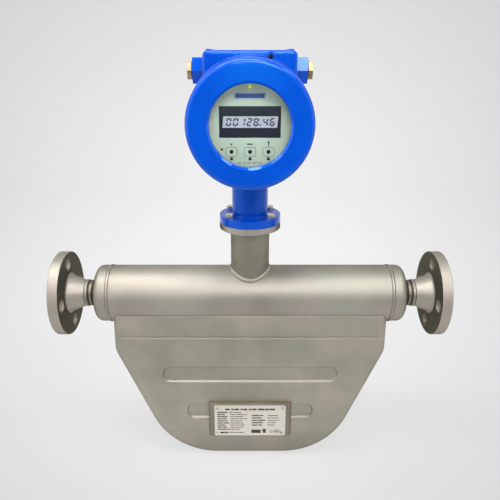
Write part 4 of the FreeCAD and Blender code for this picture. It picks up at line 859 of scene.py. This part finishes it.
# Name, place, what it faces, power in watts, width and height in metres, roll in degrees
SOFTBOXES = (
    ("key_softbox", (MIDDLE + 0.12, -1.15, 0.95), METER_CENTRE, 9.6, (0.7, 0.45), 0.0),
    ("top_strip", (MIDDLE - 0.20, -0.32, 1.40), METER_CENTRE, 12.2, (1.3, 0.22), 0.0),
    ("left_softbox", (MIDDLE - 1.45, -0.45, 0.45), METER_CENTRE, 5.0, (0.8, 1.3), 0.0),
    ("right_softbox", (MIDDLE + 1.45, -0.45, 0.45), METER_CENTRE, 2.9, (0.8, 1.3), 0.0),
    ("back_softbox", (MIDDLE + 0.1, 0.62, 1.45), METER_CENTRE, 1.2, (0.9, 0.2), 0.0),
    ("left_arc_box", (MIDDLE - 0.70, -0.30, 0.95), HEAD_CENTRE, 2.2, (0.70, 0.20), 40.0),
    ("right_glint_box", (MIDDLE + 0.62, -0.28, 1.0), HEAD_CENTRE, 1.5, (0.30, 0.20), -35.0),
)


def make_camera():
    camera = bpy.data.cameras.new("camera")
    camera.sensor_width = SENSOR_WIDTH
    camera.lens = FOCAL_LENGTH
    holder = bpy.data.objects.new("camera", camera)
    holder.location = CAMERA_PLACE
    holder.rotation_euler = (math.radians(CAMERA_PITCH), 0, 0)
    bpy.context.scene.collection.objects.link(holder)
    bpy.context.scene.camera = holder


def hang_lamp(lamp, place, target, roll=0.0):
    """Put a lamp in the scene, turned to its target and rolled about its own beam."""
    holder = bpy.data.objects.new(lamp.name, lamp)
    holder.location = place
    facing = (Vector(target) - holder.location).to_track_quat("-Z", "Y")
    holder.rotation_mode = "QUATERNION"
    holder.rotation_quaternion = facing @ Quaternion((0, 0, 1), math.radians(roll))
    bpy.context.scene.collection.objects.link(holder)


def make_lights():
    for name, place, target, power, size, roll in SOFTBOXES:
        lamp = bpy.data.lights.new(name, "AREA")
        lamp.shape = "RECTANGLE"
        lamp.size, lamp.size_y = size
        lamp.energy = power
        hang_lamp(lamp, place, target, roll)
    spot = bpy.data.lights.new("dial_spot", "SPOT")
    spot.energy = 12.0
    spot.spot_size = math.radians(6.0)
    spot.spot_blend = 0.5
    spot.shadow_soft_size = 0.04
    hang_lamp(spot, (MIDDLE, -1.70, 0.36), (MIDDLE, -0.08, 0.226))


def make_world():
    """Plain grey studio, darker overhead and darkest straight in front of the meter."""
    world = bpy.data.worlds.new("studio")
    bpy.context.scene.world = world
    nodes = Nodes(world)
    _, y, z = nodes.axes(nodes.add("TexCoord", output="Generated"))
    tone = nodes.blend(nodes.remap(z, 0.1, 0.9), STUDIO_WALLS, STUDIO_CEILING)
    tone = nodes.blend(nodes.remap(0 - y, 0.80, 0.97, smooth=True), tone, STUDIO_FRONT)
    sky = nodes.add("Background", sockets={"Color": tone, "Strength": 1.0})
    nodes.add("OutputWorld", sockets={"Surface": sky})


# Floor and backdrop, in metres

STAGE_HALF_WIDTH = 30.0
STAGE_FRONT = -2.0
SWEEP_START = 1.5
SWEEP_RADIUS = 0.7
SWEEP_STEPS = 12
WALL_TOP = 3.0

# The glow's cone: its tip in front of the pipe and above it, then for each metre away from that
# tip how far the cone's middle drops, and its half width and half height
GLOW_FROM = 0.8
GLOW_HEIGHT = 0.25
GLOW_DROP = 0.26
GLOW_SPREAD = (0.62, 0.48)


def stage_paper():
    """Pale paper with the round glow of a lamp from the front, and grey far before the meter."""
    material, nodes = new_finish("pale_paper")
    x, y, z = nodes.axes(nodes.place())
    reach = nodes.maths("MAXIMUM", y + GLOW_FROM, 0.2)
    half_width, half_height = GLOW_SPREAD
    across = (x - MIDDLE) / reach / half_width
    up = ((z - GLOW_HEIGHT) / reach + GLOW_DROP) / half_height
    from_middle = (across * across + up * up) ** 0.5
    tone = nodes.remap(from_middle, 0.0, 1.45, smooth=True)
    colour = nodes.blend(tone, shade(251, 251, 251), shade(214, 214, 216))
    front_fade = nodes.remap(0 - y, 0.7, 1.7, smooth=True)
    colour = nodes.blend(front_fade, colour, shade(118, 118, 120))
    rays = nodes.add("LightPath", output="Is Camera Ray")
    seen = rays + rays.other("Is Glossy Ray") + rays.other("Is Transmission Ray")
    matt = nodes.add("BsdfDiffuse", sockets={"Color": colour})
    glow = nodes.add("Emission", sockets={"Color": colour, "Strength": 1.0})
    share = nodes.maths("MINIMUM", seen, 1.0) * 0.8
    nodes.finish(nodes.add("MixShader", sockets={0: share, 1: matt, 2: glow}))
    return material


def make_stage():
    """Pale floor that sweeps up behind the meter."""
    profile = [(STAGE_FRONT, 0.0),
               *arc(SWEEP_START, SWEEP_RADIUS, SWEEP_RADIUS, -QUARTER, QUARTER, SWEEP_STEPS),
               (SWEEP_START + SWEEP_RADIUS, WALL_TOP)]
    points = [(MIDDLE + side * STAGE_HALF_WIDTH, y, FLOOR + z)
              for y, z in profile for side in (-1, 1)]
    faces = [(2 * i, 2 * i + 1, 2 * i + 3, 2 * i + 2) for i in range(len(profile) - 1)]
    mesh = bpy.data.meshes.new("stage")
    mesh.from_pydata(points, [], faces)
    mesh.polygons.foreach_set("use_smooth", [True] * len(faces))
    mesh.materials.append(stage_paper())
    stage = bpy.data.objects.new("stage", mesh)
    bpy.context.scene.collection.objects.link(stage)


bpy.context.scene.view_settings.view_transform = "Standard"
make_camera()
dress_frame()
make_dial_bar()
make_key_marks()
make_reading()
make_plate_marks()
make_bracket_lip()
make_welds()
make_lights()
make_world()
make_stage()
